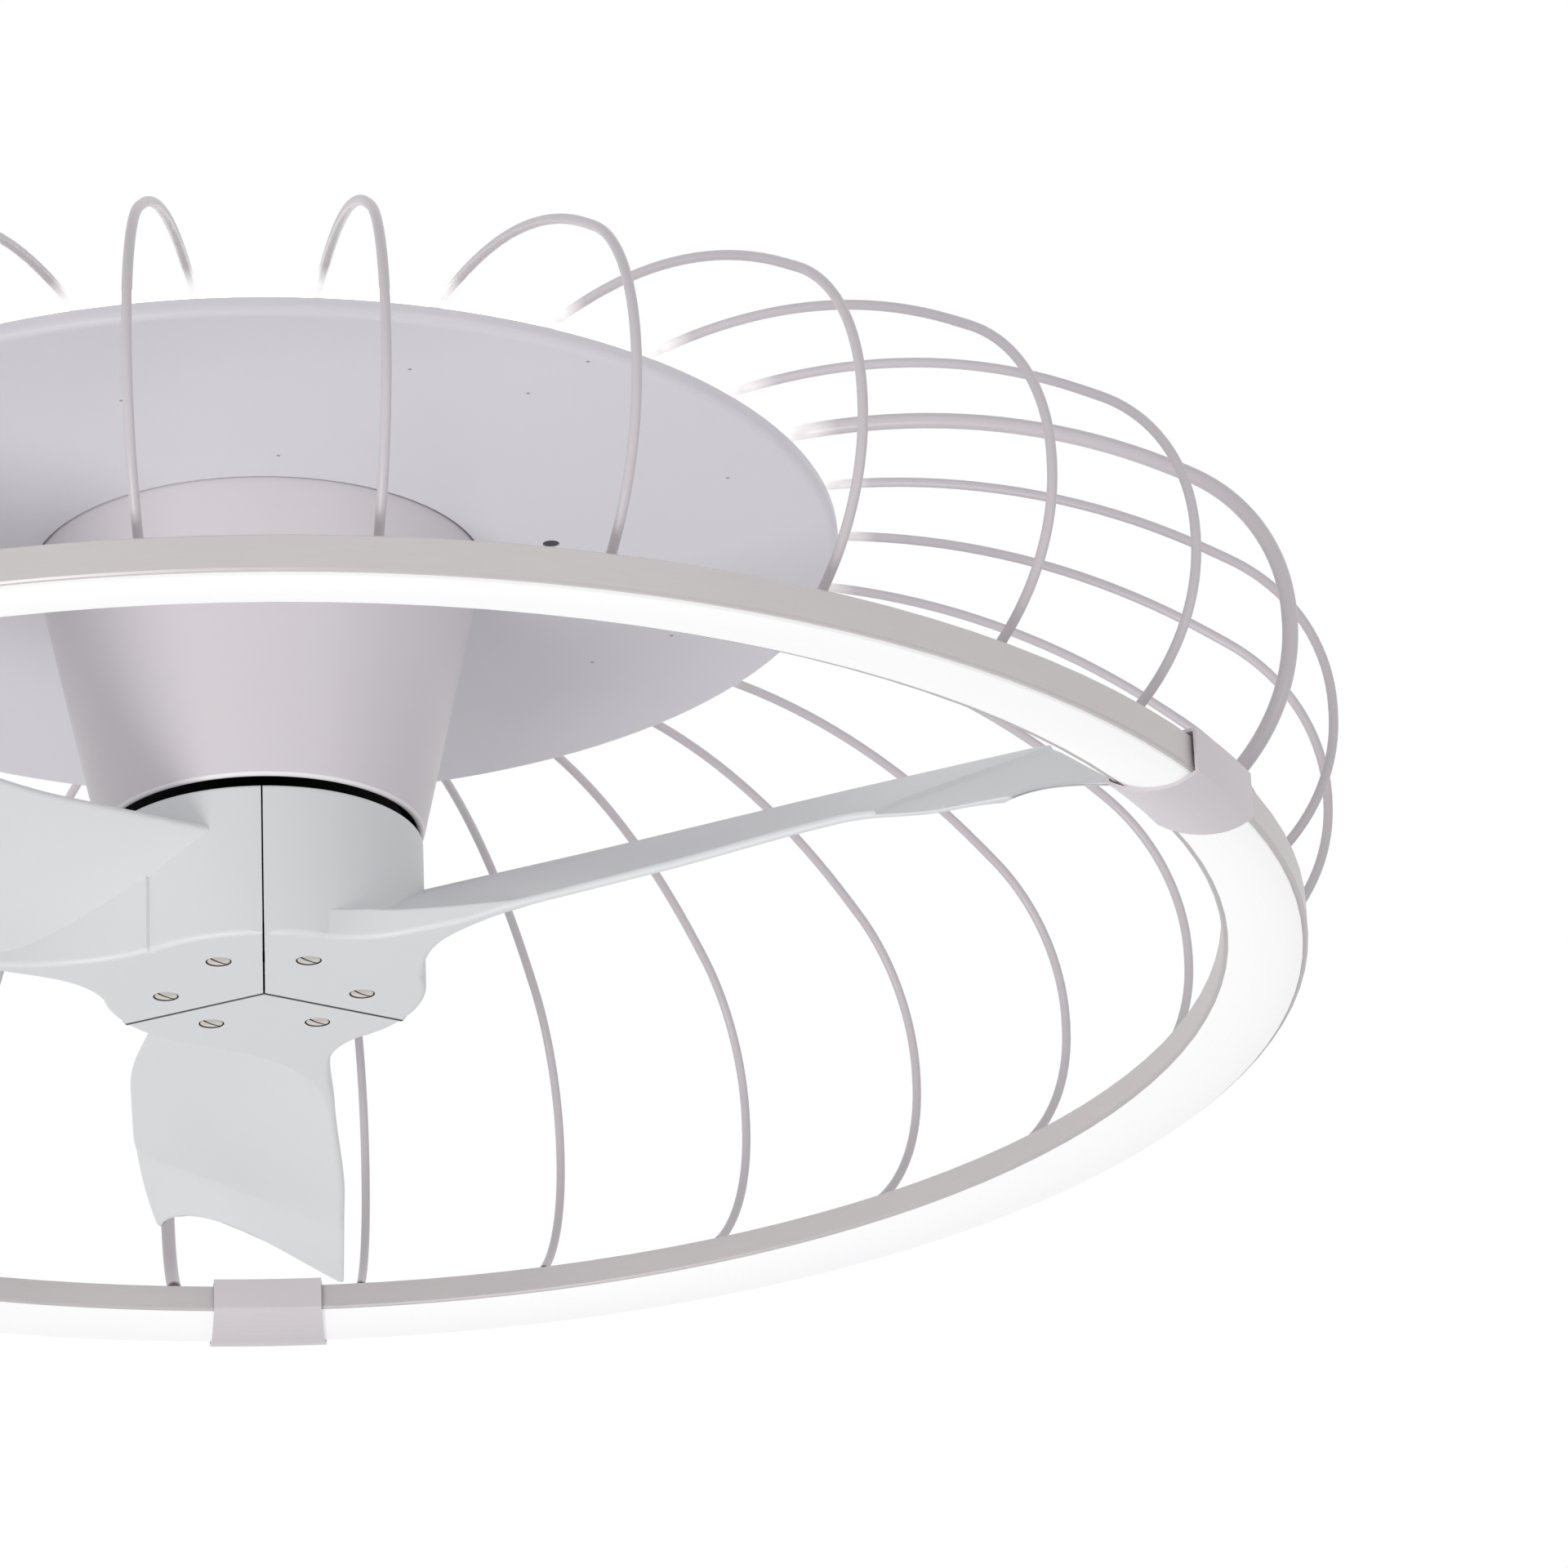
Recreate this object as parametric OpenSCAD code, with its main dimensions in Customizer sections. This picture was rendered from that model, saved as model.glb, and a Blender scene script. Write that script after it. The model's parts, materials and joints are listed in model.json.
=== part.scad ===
// Caged ceiling fan with a ring light and a back-lit ceiling disc.
// z = 0 is the ceiling and the fan hangs into -Z. Azimuth 0 is -Y and grows towards +X.

/* [Whole fan] */
// Drop from the ceiling to the lower edge of the ring
fan_h = 163; // [158:1:170]
// Clearance between pieces that slide into each other
fit_gap = 0.05; // [0.02:0.01:0.08]

/* [Ceiling bracket] */
// Length of the mounting bracket
bracket_l = 130; // [120:1:150]
// Width of the mounting bracket
bracket_w = 28; // [24:1:36]
// Thickness of the mounting bracket
bracket_t = 2; // [1.5:0.1:2.5]
// Distance between the two ceiling slots
slot_pitch = 80; // [70:1:90]
// Width of a ceiling slot
slot_w = 5; // [4:0.2:6]
// End-to-end length of a ceiling slot
slot_l = 12; // [9:0.5:16]

/* [Base pan] */
// Outer radius of the base pan
pan_r = 135; // [130:1:138]
// Height of the base pan
pan_h = 16; // [15:0.5:18]
// Sheet thickness of the base pan
pan_t = 1.5; // [1:0.1:2]
// Width of the inward flange at the pan's rim
pan_flange_w = 12; // [9:0.5:16]
// Thickness of the arm plate
arm_plate_t = 2; // [1.5:0.1:2.5]
// Outer radius of the arm plate
arm_plate_r = 150; // [146:0.5:154]
// Distance from the bracket's end to its screw
bracket_screw_in = 7; // [6:0.5:10]
// Radius of the mains entry in the cable grommet
entry_r = 4.5; // [3.5:0.1:6]
// Wall of the cable grommet
grommet_wall = 5.5; // [4.5:0.5:7]
// Distance of the mains entry from the axis
entry_y = 45; // [40:1:50]
// Length of the driver box
driver_l = 92; // [80:1:100]
// Width of the driver box
driver_w = 44; // [36:1:46]
// Height of the driver box
driver_h = 11; // [9:0.5:12]
// Distance of the driver box from the axis
driver_y = 54; // [50:1:58]
// Pitch of the terminals
terminal_pitch = 12; // [10:0.5:14]
// Width of the terminal block
terminal_w = 16; // [13:0.5:18]
// Height of the terminal block
terminal_h = 10; // [8:0.5:11]
// Distance of the terminal block from the axis
terminal_y = 66; // [62:1:72]

/* [Halo light] */
// Outer radius of the halo diffuser
halo_r = 148.5; // [145:0.5:152]
// Wall of the halo diffuser
halo_wall = 2.5; // [1.5:0.1:3]
// Gap between the halo diffuser and the ceiling
halo_gap = 5.6; // [4:0.1:7]

/* [Ceiling disc] */
// Outer radius of the ceiling disc
disc_r = 170.8; // [165:0.2:178]
// Sheet thickness of the ceiling disc
disc_t = 1.5; // [1:0.1:2]
// Height of the feet that hold the disc off the arm plate
disc_foot_h = 5.2; // [4.9:0.1:7]
// Depth of the rolled rim
disc_rim_h = 4.8; // [4:0.1:6]
// Radius of the roll at the rim
disc_roll_r = 2.8; // [2:0.1:3.6]
// Air gap between the disc and the motor housing
disc_hole_gap = 0.8; // [0.4:0.1:1.5]
// Radius of the circle of the disc's feet
disc_foot_r = 112; // [105:1:120]
// Radius of the eye of the remote receiver
eye_r = 2.2; // [1.5:0.1:3]
// Distance of the eye from the axis
eye_at_r = 87.4; // [84:0.2:92]
// Azimuth of the eye
eye_azimuth = 78; // [70:1:85]

/* [Motor] */
// Outer radius of the motor housing at the disc
cone_top_r = 65.6; // [62:0.2:70]
// Outer radius of the motor housing at its lower end
cone_low_r = 47.2; // [46:0.2:50]
// Wall of the motor housing
cone_wall = 2.2; // [1.6:0.1:2.6]
// Width of the motor housing's flange on the arm plate
cone_flange_w = 12; // [11:0.5:14]
// Thickness of the flanges on the arm plate
flange_t = 1.8; // [1.4:0.1:2.2]
// Radius of the motor mount's flange
mount_flange_r = 44; // [40:0.5:50]
// Radius of the circle of the motor mount's screws
mount_screw_r = 32; // [29:0.5:35]
// Open gap between the motor housing and the hub
hub_gap = 2.1; // [1.5:0.1:3]
// Radius of the rotor shaft
shaft_r = 5; // [4.5:0.1:5.5]
// Outer radius of a ball bearing
bearing_r = 13; // [12:0.1:14]
// Height of a ball bearing
bearing_h = 8; // [7:0.5:9]
// Outer radius of the bearing tube
tube_r = 17; // [16:0.5:18]
// Outer radius of the stator
stator_r = 35.9; // [34:0.1:36]
// Height of the stator's stack of sheets
stator_h = 22; // [18:1:24]
// Air gap between the stator and the magnets
air_gap = 0.8; // [0.5:0.1:1.2]
// Thickness of the magnets
magnet_t = 2.2; // [1.8:0.1:2.6]
// Wall of the rotor can
can_wall = 2; // [1.5:0.1:2.4]
// Number of stator teeth
teeth = 12; // [9:3:18]
// Number of magnets
poles = 14; // [10:2:20]

/* [Hub] */
// Outer radius of the hub
hub_r = 46.6; // [44:0.2:50]
// Height of the hub
hub_h = 46.4; // [42:0.2:48]
// Height of the hub's underside above the light face
hub_lift = 3.2; // [2.6:0.1:4]
// Wall of the hub
hub_wall = 2.4; // [1.8:0.1:3]
// Floor of the hub
hub_floor = 3; // [2.5:0.1:3.5]
// Width of the seam between two hub sectors
seam = 0.5; // [0.3:0.1:1]
// Radius of the circle that the blade screws lie on
screw_circle_r = 28.2; // [26:0.2:30]
// Angle of a blade screw from the middle of its sector
screw_turn = 33; // [25:1:40]

/* [Blades] */
// Gap between the blade's outer corner and the ring's inner wall
tip_gap = 22.1; // [18:0.1:35]
// Height of the front edge above the ring's lower edge
nose_lift = 2.4; // [2.2:0.1:3.4]
// Distance of the front edge from the blade's middle line, near the hub
nose_root_t = 19.2; // [17.5:0.1:21]
// Distance of the front edge from the blade's middle line, at the outer part
nose_tip_t = 22.9; // [20:0.1:25]
// Distance of the rear edge from the blade's middle line, near the hub
rear_root_t = 29.5; // [26:0.1:32]
// Distance of the rear edge from the blade's middle line, at the outer part
rear_tip_t = 40.6; // [36:0.1:43]
// Height of the rear edge above the ring's lower edge, near the hub
rear_root_h = 36.3; // [33:0.1:40]
// Height of the rear edge above the ring's lower edge, at the outer part
rear_tip_h = 42.4; // [36:0.1:45]
// How far the blade arches up between its edges, near the hub
camber = 5.5; // [3:0.1:6.5]
// Thickness of the blade
blade_t = 2.6; // [2:0.1:3]
// How far the outer end turns down at the rear corner
end_drop = 13; // [8:0.5:16]
// Width of the outer end that turns down at the rear corner
end_w = 34; // [25:1:45]
// How far the end edge is hollowed
end_hollow = 13; // [6:0.5:16]
// Radius of the hollow flare behind the root
flare_r = 51.3; // [48:0.1:54]
// Distance from the axis at which the flare ends
flare_end_r = 92.3; // [88:0.1:98]
// How far behind the blade's middle line the flare meets the hub
flare_start_t = 13; // [10:0.5:15]
// Width of the root's floor where the flare ends
floor_lip = 2.5; // [1.5:0.1:4]
// Distance from the axis at which the root's floor ends
floor_end_r = 112; // [104:1:125]
// Height of the root's front wall at the hub
web_h = 9.6; // [6:0.2:12]
// Radius of the hollow corner between the hub and the front wall
web_r = 29; // [22:0.5:36]
// Distance from the axis at which that hollow corner ends
web_bend_r = 58; // [54:0.5:62]
// Distance from the axis at which the front wall has run out
web_end_r = 92; // [84:1:105]

/* [Ring light] */
// Outer radius of the ring profile
ring_r = 300; // [296:0.5:304]
// Width of the ring profile
ring_w = 24.4; // [21:0.2:26]
// Height of the ring profile
ring_h = 9.8; // [8:0.1:11]
// Wall of the ring profile at its lips
ring_wall = 1.6; // [1.2:0.1:2.6]
// Web of the ring profile
ring_web = 1.5; // [1:0.1:2]
// How far the diffuser bulges below the ring's outer lip
crown = 2.9; // [2:0.1:3.5]
// Distance of the diffuser's lowest line from the ring's outer wall
crown_in = 8; // [6:0.5:11]
// How far the diffuser's outer edge lies below the lip
edge_drop = 0.9; // [0.5:0.1:1.2]
// Rise of the inner lip and of the diffuser's inner edge
diffuser_rise = 1.8; // [1:0.1:2]
// Thickness of the diffuser
diffuser_t = 2; // [1.5:0.1:2.5]

/* [Clips] */
// Angle that a clip covers
clip_turn = 7.2; // [5:0.1:9]
// Wall of a clip
clip_t = 0.9; // [0.8:0.1:1.2]
// Air gap between a clip and the ring profile
clip_gap = 0.8; // [0.5:0.1:1.1]
// Air gap between a clip and the diffuser's lowest line
clip_low_gap = 0.4; // [0.3:0.1:0.8]
// How far the clip's outer lower edge lies below the ring's outer lip
clip_corner = 1.4; // [1.2:0.1:1.8]
// Width of the lips that turn over the ring profile
clip_lip_w = 4; // [3:0.1:6]

/* [Cage] */
// Diameter of a cage wire
wire_d = 2.8; // [2.4:0.1:3.2]
// Diameter of a support arm
arm_d = 4.5; // [4:0.1:5]
// Azimuth of the first wire
wire_turn = 6; // [5:0.5:7]
// How far the middle of the cage wires bulges out past the ring
cage_out = 12.1; // [9:0.1:16]
// Radius at which the wires leave their level stretch
shoulder_r = 168; // [160:0.5:178]
// Length of the slant between the shoulder and the elbow
slant_l = 7; // [4:0.5:12]
// Angle of the shoulder bend
shoulder_turn = 32.3; // [31:0.1:33]
// Length of the upright stretch beside the blades
upright_l = 1.8; // [1:0.1:4]
// Angle that the foot leans inward from upright
foot_turn = 50; // [46:1:54]
// Distance of the foot from the ring's outer wall
foot_in = 15.8; // [14:0.2:17]
// Diameter of a wire's turned-down foot
foot_d = 2; // [1.6:0.1:2.2]
// Length of a wire's turned-down foot
foot_l = 6; // [4:0.1:7]

/* [Screws] */
// Radius of a screw's head
head_r = 3.6; // [3.2:0.1:4]
// Height of a screw's head
head_h = 2.2; // [1.8:0.1:2.4]
// Radius of a screw's shank
shank_r = 2; // [1.8:0.05:2.1]
// Depth of the recess round a blade screw
recess_h = 0.9; // [0.5:0.1:1.2]

/* [Hidden] */
$fn = 96;

// Every blade and every wire is a piece of its own, so their numbers stay
blades = 3;
wires = 30;
arms = 3;
first_arm = 5;
// Longer than anything that is cut
far = 2 * ring_r;

// Levels, from the ceiling down
pan_top_z = -bracket_t;
pan_low_z = pan_top_z - pan_h;
arm_plate_low_z = pan_low_z - arm_plate_t;
disc_in_z = arm_plate_low_z - disc_foot_h;
disc_low_z = disc_in_z - disc_t;
lip_z = -fan_h;
light_z = lip_z - crown;
hub_low_z = lip_z + hub_lift;
hub_top_z = hub_low_z + hub_h;
cone_low_z = hub_top_z + hub_gap;
ring_top_z = lip_z + ring_h;

// Bracket, pan and what lies in the pan
bracket_screw_x = bracket_l / 2 - bracket_screw_in;
slot_room = 2;
grommet_r = entry_r + grommet_wall;
grommet_groove = 2;
grommet_lip_h = 1.6;
grommet_top_z = -0.2;
pan_screw_r = pan_r - pan_t - pan_flange_w / 2;
pan_screw_turns = [for (k = [0:5]) 30 + 60 * k];
driver_corner = 4;
outlet_r = 3;
outlet_in = 20;
terminals = 3;
terminal_screw_r = 2.4;
terminal_wire_r = 2;
receiver_w = 12;
receiver_l = 16;
strip_t = 1.2;
strip_gap = 0.3;
strip_lift = 4;
disc_foot_d = 10;
disc_foot_turns = [for (k = [0:3]) 45 + 90 * k];

// Motor, from the arm plate down
tube_low_z = cone_low_z + 8.3;
stator_low_z = tube_low_z + 5;
magnet_in_r = stator_r + air_gap;
can_in_r = magnet_in_r + magnet_t;
can_r = can_in_r + can_wall;
can_low_z = tube_low_z - 4;
can_top_z = stator_low_z + stator_h + 2;
bearing_top_z = arm_plate_low_z - 18;
collar_w = 2;
collar_h = 2;
carrier_t = 3;
carrier_z = hub_low_z + hub_floor + 5;
carrier_gap = 0.6;
neck_r = 14;
plate_hole_r = 9;
mount_screw_turns = [for (k = [0:3]) 45 + 90 * k];
cone_screw_r = cone_top_r + cone_flange_w / 2 + 1;
cone_screw_turns = [for (k = [0:2]) 30 + 120 * k];

// Hub, screws and blades
sector_turn = 360 / blades;
blade_turn = 60;
screw_azimuths = [
    for (k = [0:blades - 1]) for (s = [-1, 1]) blade_turn + k * sector_turn + s * screw_turn
];
screw_l = flange_t + arm_plate_t;
recess_r = head_r + 0.3;
boss_r = 5.5;
slot_turn = 45;
hub_edge = 1.6;

// Ring and clips
ring_in_r = ring_r - ring_w;
chamfer = 0.5;
clip_turns = [for (k = [0:2]) blade_turn + k * 120];

// A blade: r runs out along it, t across it towards its rear edge, z up from the ring's lower edge
blade_r = ring_in_r - tip_gap;
twist_start = 80;
twist_end = 180;
sections = 24;
chord_steps = 10;
round_turns = [78, 45, 15];
function ease(u) = let (c = min(1, max(0, u))) c * c * (3 - 2 * c);
function twist(r) = ease((r - twist_start) / (twist_end - twist_start));
function rear_h(r) = rear_root_h + (rear_tip_h - rear_root_h) * twist(r);
function nose_t(r) = -nose_root_t - (nose_tip_t - nose_root_t) * twist(r);
function rear_t(r) = rear_root_t + (rear_tip_t - rear_root_t) * twist(r);
function chord_t(r, v) = nose_t(r) + v * (rear_t(r) - nose_t(r)) - corner_in(r) * pow(v, 4);
// The arch is highest at a third of the chord, and fades outward
arch_top = 27 / 4;
arch_at = 1 / 3;
function arch(r) = camber * (1 - twist(r));
function chord_h(r, v) = nose_lift + v * (rear_h(r) - nose_lift) + arch(r) * arch_top * v * pow(1 - v, 2);
function lean(r, v) = atan((rear_h(r) - nose_lift + arch(r) * arch_top * (1 - v) * (1 - 3 * v))
    / (rear_t(r) - nose_t(r)));
// The rear edge draws in at the outer corner
corner_w = 7;
function corner_in(r) = corner_w * pow(max(0, (r - blade_r + end_w) / end_w), 2);
// Start of the blade inside the hub's wall, and its hollowed end
function root_r(v) = sqrt(pow(hub_r - hub_wall / 2, 2) - pow(chord_t(hub_r, v), 2));
nose_short = 6;
function end_r(v) = blade_r - nose_short * (1 - v) - 4 * end_hollow * v * (1 - v);
// The outer end turns down more towards the rear corner
drop_l = 1.35 * end_w;
function drop_start(v) = end_r(v) - end_w * (0.45 + 0.55 * v);
function drop(r, v) =
    end_drop * pow(v, 1.15) * ease((r - drop_start(v)) / drop_l) / ease(end_w / drop_l);

// The cage wires, in a plane through the fan's axis. Height and reach give both bend radii
cage_r = ring_r + cage_out;
foot_r = ring_r - foot_in;
function wire_z(d) = pan_low_z + d / 2;
function bend_drop(d) = wire_z(d) - ring_top_z - slant_l * sin(shoulder_turn) - upright_l
    - (cage_r - foot_r) / tan(foot_turn);
bend_reach = cage_r - shoulder_r - slant_l * cos(shoulder_turn);
shoulder_fall = 1 - cos(shoulder_turn);
elbow_reach = 1 - sin(shoulder_turn);
elbow_fall = cos(shoulder_turn) + sin(foot_turn) - (1 - cos(foot_turn)) / tan(foot_turn);
function elbow_bend(d) = (sin(shoulder_turn) * bend_drop(d) - shoulder_fall * bend_reach)
    / (sin(shoulder_turn) * elbow_fall - shoulder_fall * elbow_reach);
function shoulder_bend(d) = (bend_reach - elbow_reach * elbow_bend(d)) / sin(shoulder_turn);
function slant_r(d) = shoulder_r + shoulder_bend(d) * sin(shoulder_turn);
function slant_z(d) = wire_z(d) - shoulder_bend(d) * shoulder_fall;
function elbow_z(d) = slant_z(d) - slant_l * sin(shoulder_turn) - elbow_bend(d) * cos(shoulder_turn);
function bent_r(d) = cage_r - elbow_bend(d) * (1 - cos(foot_turn));
function bent_z(d) = elbow_z(d) - upright_l - elbow_bend(d) * sin(foot_turn);
function lean_l(d) = (bent_r(d) - foot_r) / sin(foot_turn);
// A bend is drawn a hair thinner than the straight wire, and laps into it at both ends
bend_thin = 0.04;
wire_lap = 0.6;
function is_arm(k) = k % (wires / arms) == first_arm;
function place(k) = wire_turn + k * 360 / wires;
wire_places = [for (k = [0:wires - 1]) if (!is_arm(k)) place(k)];
arm_places = [for (k = [0:wires - 1]) if (is_arm(k)) place(k)];
notch_gap = 0.4;

// Points along an arc round (x, y)
function arc(x, y, r, from, to, n = 8) =
    [for (k = [0:n]) let (a = from + (to - from) * k / n) [x + r * cos(a), y + r * sin(a)]];
// Radius of an arc that is level at its start and has risen by h at the distance w
function sweep(w, h) = (w * w + h * h) / (2 * h);
// Points of a bowl whose lowest point is (x, z), from the radius r1 down and up again to r2
function bowl(x, z, big1, big2, r1, r2, in = 0, n = 8) = concat(
    [for (k = [0:n]) let (d = (r1 - x) * (1 - k / n)) [x + d, z + big1 - sqrt(pow(big1 - in, 2) - d * d)]],
    [for (k = [1:n]) let (d = (x - r2) * k / n) [x - d, z + big2 - sqrt(pow(big2 - in, 2) - d * d)]]);
function reversed(points) = [for (k = [len(points) - 1:-1:0]) points[k]];

module azimuth(turn) rotate([0, 0, turn - 90]) children();

module screw(l) {
    // Head below z = 0 and shank above it, with a slot across the head
    slot_width = 1;
    slot_depth = 0.8;
    difference() {
        union() {
            translate([0, 0, -head_h]) cylinder(r = head_r, h = head_h, $fn = 48);
            cylinder(r = shank_r - fit_gap, h = l, $fn = 32);
        }
        translate([-head_r - 1, -slot_width / 2, -head_h - 1])
            cube([2 * head_r + 2, slot_width, slot_depth + 1]);
    }
}

module screw_holes(turns, at_r, low, depth) {
    for (turn = turns) azimuth(turn) translate([at_r, 0, low - 1])
        cylinder(r = shank_r, h = depth + 2, $fn = 32);
}

module mounting_bracket() color("silver") {
    difference() {
        translate([-bracket_l / 2, -bracket_w / 2, -bracket_t]) cube([bracket_l, bracket_w, bracket_t]);
        for (s = [-1, 1]) {
            for (e = [-1, 1]) {
                translate([s * slot_pitch / 2 + e * (slot_l - slot_w) / 2, 0, -bracket_t - 1])
                    cylinder(d = slot_w, h = bracket_t + 2, $fn = 48);
            }
            translate([s * slot_pitch / 2 - (slot_l - slot_w) / 2, -slot_w / 2, -bracket_t - 1])
                cube([slot_l - slot_w, slot_w, bracket_t + 2]);
            translate([s * bracket_screw_x, 0, -bracket_t - 1])
                cylinder(r = shank_r, h = bracket_t + 2, $fn = 32);
        }
    }
}

module base_pan() color("gainsboro") {
    rim_r = pan_r - pan_t;
    difference() {
        rotate_extrude() polygon([
            [0, pan_top_z], [pan_r, pan_top_z], [pan_r, pan_low_z],
            [rim_r - pan_flange_w, pan_low_z], [rim_r - pan_flange_w, pan_low_z + pan_t],
            [rim_r, pan_low_z + pan_t], [rim_r, pan_top_z - pan_t], [0, pan_top_z - pan_t]
        ]);
        for (s = [-1, 1]) {
            translate([s * slot_pitch / 2, 0, pan_top_z - pan_t - 1])
                cylinder(r = slot_l / 2 + slot_room, h = pan_t + 2);
            translate([s * bracket_screw_x, 0, pan_top_z - pan_t - 1])
                cylinder(r = shank_r, h = pan_t + 2, $fn = 32);
        }
        translate([0, entry_y, pan_top_z - pan_t - 1])
            cylinder(r = grommet_r - grommet_groove, h = pan_t + 2);
        screw_holes(pan_screw_turns, pan_screw_r, pan_low_z, pan_t);
    }
}

module cable_grommet() color("dimgray") {
    neck = grommet_r - grommet_groove;
    translate([0, entry_y, 0]) rotate_extrude() polygon([
        [entry_r, grommet_top_z], [grommet_r, grommet_top_z], [grommet_r, pan_top_z], [neck, pan_top_z],
        [neck, pan_top_z - pan_t], [grommet_r, pan_top_z - pan_t],
        [grommet_r, pan_top_z - pan_t - grommet_lip_h], [entry_r, pan_top_z - pan_t - grommet_lip_h]
    ]);
}

module driver_box() color("whitesmoke") {
    // Electronics box on the arm plate, with a rounded outline and two wire outlets
    c = driver_corner;
    translate([-driver_l / 2, -driver_y - driver_w, pan_low_z]) difference() {
        linear_extrude(driver_h) translate([c, c])
            offset(r = c) square([driver_l - 2 * c, driver_w - 2 * c]);
        for (x = [outlet_in, driver_l - outlet_in])
            translate([x, -1, driver_h / 2]) rotate([-90, 0, 0]) cylinder(r = outlet_r, h = c + 1, $fn = 32);
    }
}

module terminal_block() color("white") {
    // Three-way screw terminal beside the cable entry
    wire_h = terminal_h / 3;
    translate([-terminals * terminal_pitch / 2, terminal_y, pan_low_z]) difference() {
        cube([terminals * terminal_pitch, terminal_w, terminal_h]);
        for (k = [0:terminals - 1]) {
            translate([(k + 0.5) * terminal_pitch, terminal_w / 3, wire_h])
                cylinder(r = terminal_screw_r, h = terminal_h, $fn = 32);
            translate([(k + 0.5) * terminal_pitch, -1, wire_h]) rotate([-90, 0, 0])
                cylinder(r = terminal_wire_r, h = terminal_w / 2 + 1, $fn = 32);
        }
    }
}

module remote_receiver() color("dimgray") {
    // Small box under the arm plate whose eye looks through the disc
    low = disc_in_z + 1;
    azimuth(eye_azimuth) translate([eye_at_r, 0, 0]) {
        translate([-receiver_w / 2, -receiver_l / 2, low])
            cube([receiver_w, receiver_l, arm_plate_low_z - low]);
        translate([0, 0, disc_low_z + strip_gap])
            cylinder(r = eye_r, h = low + 1 - disc_low_z - strip_gap, $fn = 48);
    }
}

module halo_led_strip() color("lightyellow") {
    // Light strip round the pan's wall
    low = pan_low_z + strip_lift;
    high = -halo_gap - halo_wall - strip_gap;
    difference() {
        translate([0, 0, low]) cylinder(r = pan_r + fit_gap + strip_t, h = high - low);
        translate([0, 0, low - 1]) cylinder(r = pan_r + fit_gap, h = high - low + 2);
    }
}

module halo_diffuser() color("white") {
    // Ring over the wires, notched where they pass
    high = -halo_gap;
    edge = 1;
    wall_in = halo_r - halo_wall;
    difference() {
        rotate_extrude() polygon([
            [pan_r + fit_gap, high], [halo_r - edge, high], [halo_r, high - edge], [halo_r, pan_low_z],
            [wall_in, pan_low_z], [wall_in, high - halo_wall], [pan_r + fit_gap, high - halo_wall]
        ]);
        for (k = [0:wires - 1]) {
            d = is_arm(k) ? arm_d : wire_d;
            azimuth(place(k)) translate([wall_in - 2, -d / 2 - notch_gap, pan_low_z - 1])
                cube([halo_wall + 4, d + 2 * notch_gap, d + notch_gap + 1]);
        }
    }
}

module arm_plate() color("gainsboro") {
    difference() {
        translate([0, 0, arm_plate_low_z]) cylinder(r = arm_plate_r, h = arm_plate_t);
        translate([0, 0, arm_plate_low_z - 1]) cylinder(r = plate_hole_r, h = arm_plate_t + 2);
        screw_holes(pan_screw_turns, pan_screw_r, arm_plate_low_z, arm_plate_t);
        screw_holes(mount_screw_turns, mount_screw_r, arm_plate_low_z, arm_plate_t);
        screw_holes(cone_screw_turns, cone_screw_r, arm_plate_low_z, arm_plate_t);
    }
}

module frame_screws() color("silver") {
    for (s = [-1, 1]) translate([s * bracket_screw_x, 0, pan_top_z - pan_t]) screw(pan_t + bracket_t);
    for (turn = pan_screw_turns)
        azimuth(turn) translate([pan_screw_r, 0, arm_plate_low_z]) screw(arm_plate_t + pan_t);
    for (turn = mount_screw_turns)
        azimuth(turn) translate([mount_screw_r, 0, arm_plate_low_z - flange_t]) screw(screw_l);
    for (turn = cone_screw_turns)
        azimuth(turn) translate([cone_screw_r, 0, arm_plate_low_z - flange_t]) screw(screw_l);
}

module ceiling_disc() color([0.80, 0.80, 0.83]) {
    hole_r = cone_top_r + disc_hole_gap;
    rim_z = disc_low_z + disc_rim_h;
    o = disc_roll_r;
    i = disc_roll_r - disc_t;
    cx = disc_r - disc_roll_r;
    cz = disc_low_z + disc_roll_r;
    difference() {
        union() {
            rotate_extrude() polygon(concat(
                [[hole_r, disc_low_z]], arc(cx, cz, o, -90, 0), [[disc_r, rim_z], [disc_r - disc_t, rim_z]],
                arc(cx, cz, i, 0, -90), [[hole_r, disc_in_z]]
            ));
            for (turn = disc_foot_turns)
                azimuth(turn) translate([disc_foot_r, 0, disc_in_z - disc_t / 2])
                    cylinder(d = disc_foot_d, h = disc_foot_h + disc_t / 2);
        }
        azimuth(eye_azimuth) translate([eye_at_r, 0, disc_low_z - 1])
            cylinder(r = eye_r + strip_gap, h = disc_t + 2, $fn = 48);
    }
}

module motor_housing() color([0.83, 0.81, 0.83]) {
    // Tapered shell with a flange on the arm plate and a rounded lower edge
    edge = cone_wall / 2;
    flange_r = cone_top_r + cone_flange_w;
    lean = atan((cone_top_r - cone_low_r) / (disc_low_z - cone_low_z));
    difference() {
        rotate_extrude() polygon(concat(
            [[cone_top_r - cone_wall, arm_plate_low_z], [flange_r, arm_plate_low_z],
             [flange_r, arm_plate_low_z - flange_t], [cone_top_r, arm_plate_low_z - flange_t],
             [cone_top_r, disc_low_z]],
            arc(cone_low_r - edge, cone_low_z + edge, edge, -lean, -180 - lean),
            [[cone_top_r - cone_wall, disc_low_z]]
        ));
        screw_holes(cone_screw_turns, cone_screw_r, arm_plate_low_z - flange_t, flange_t);
    }
}

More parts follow.
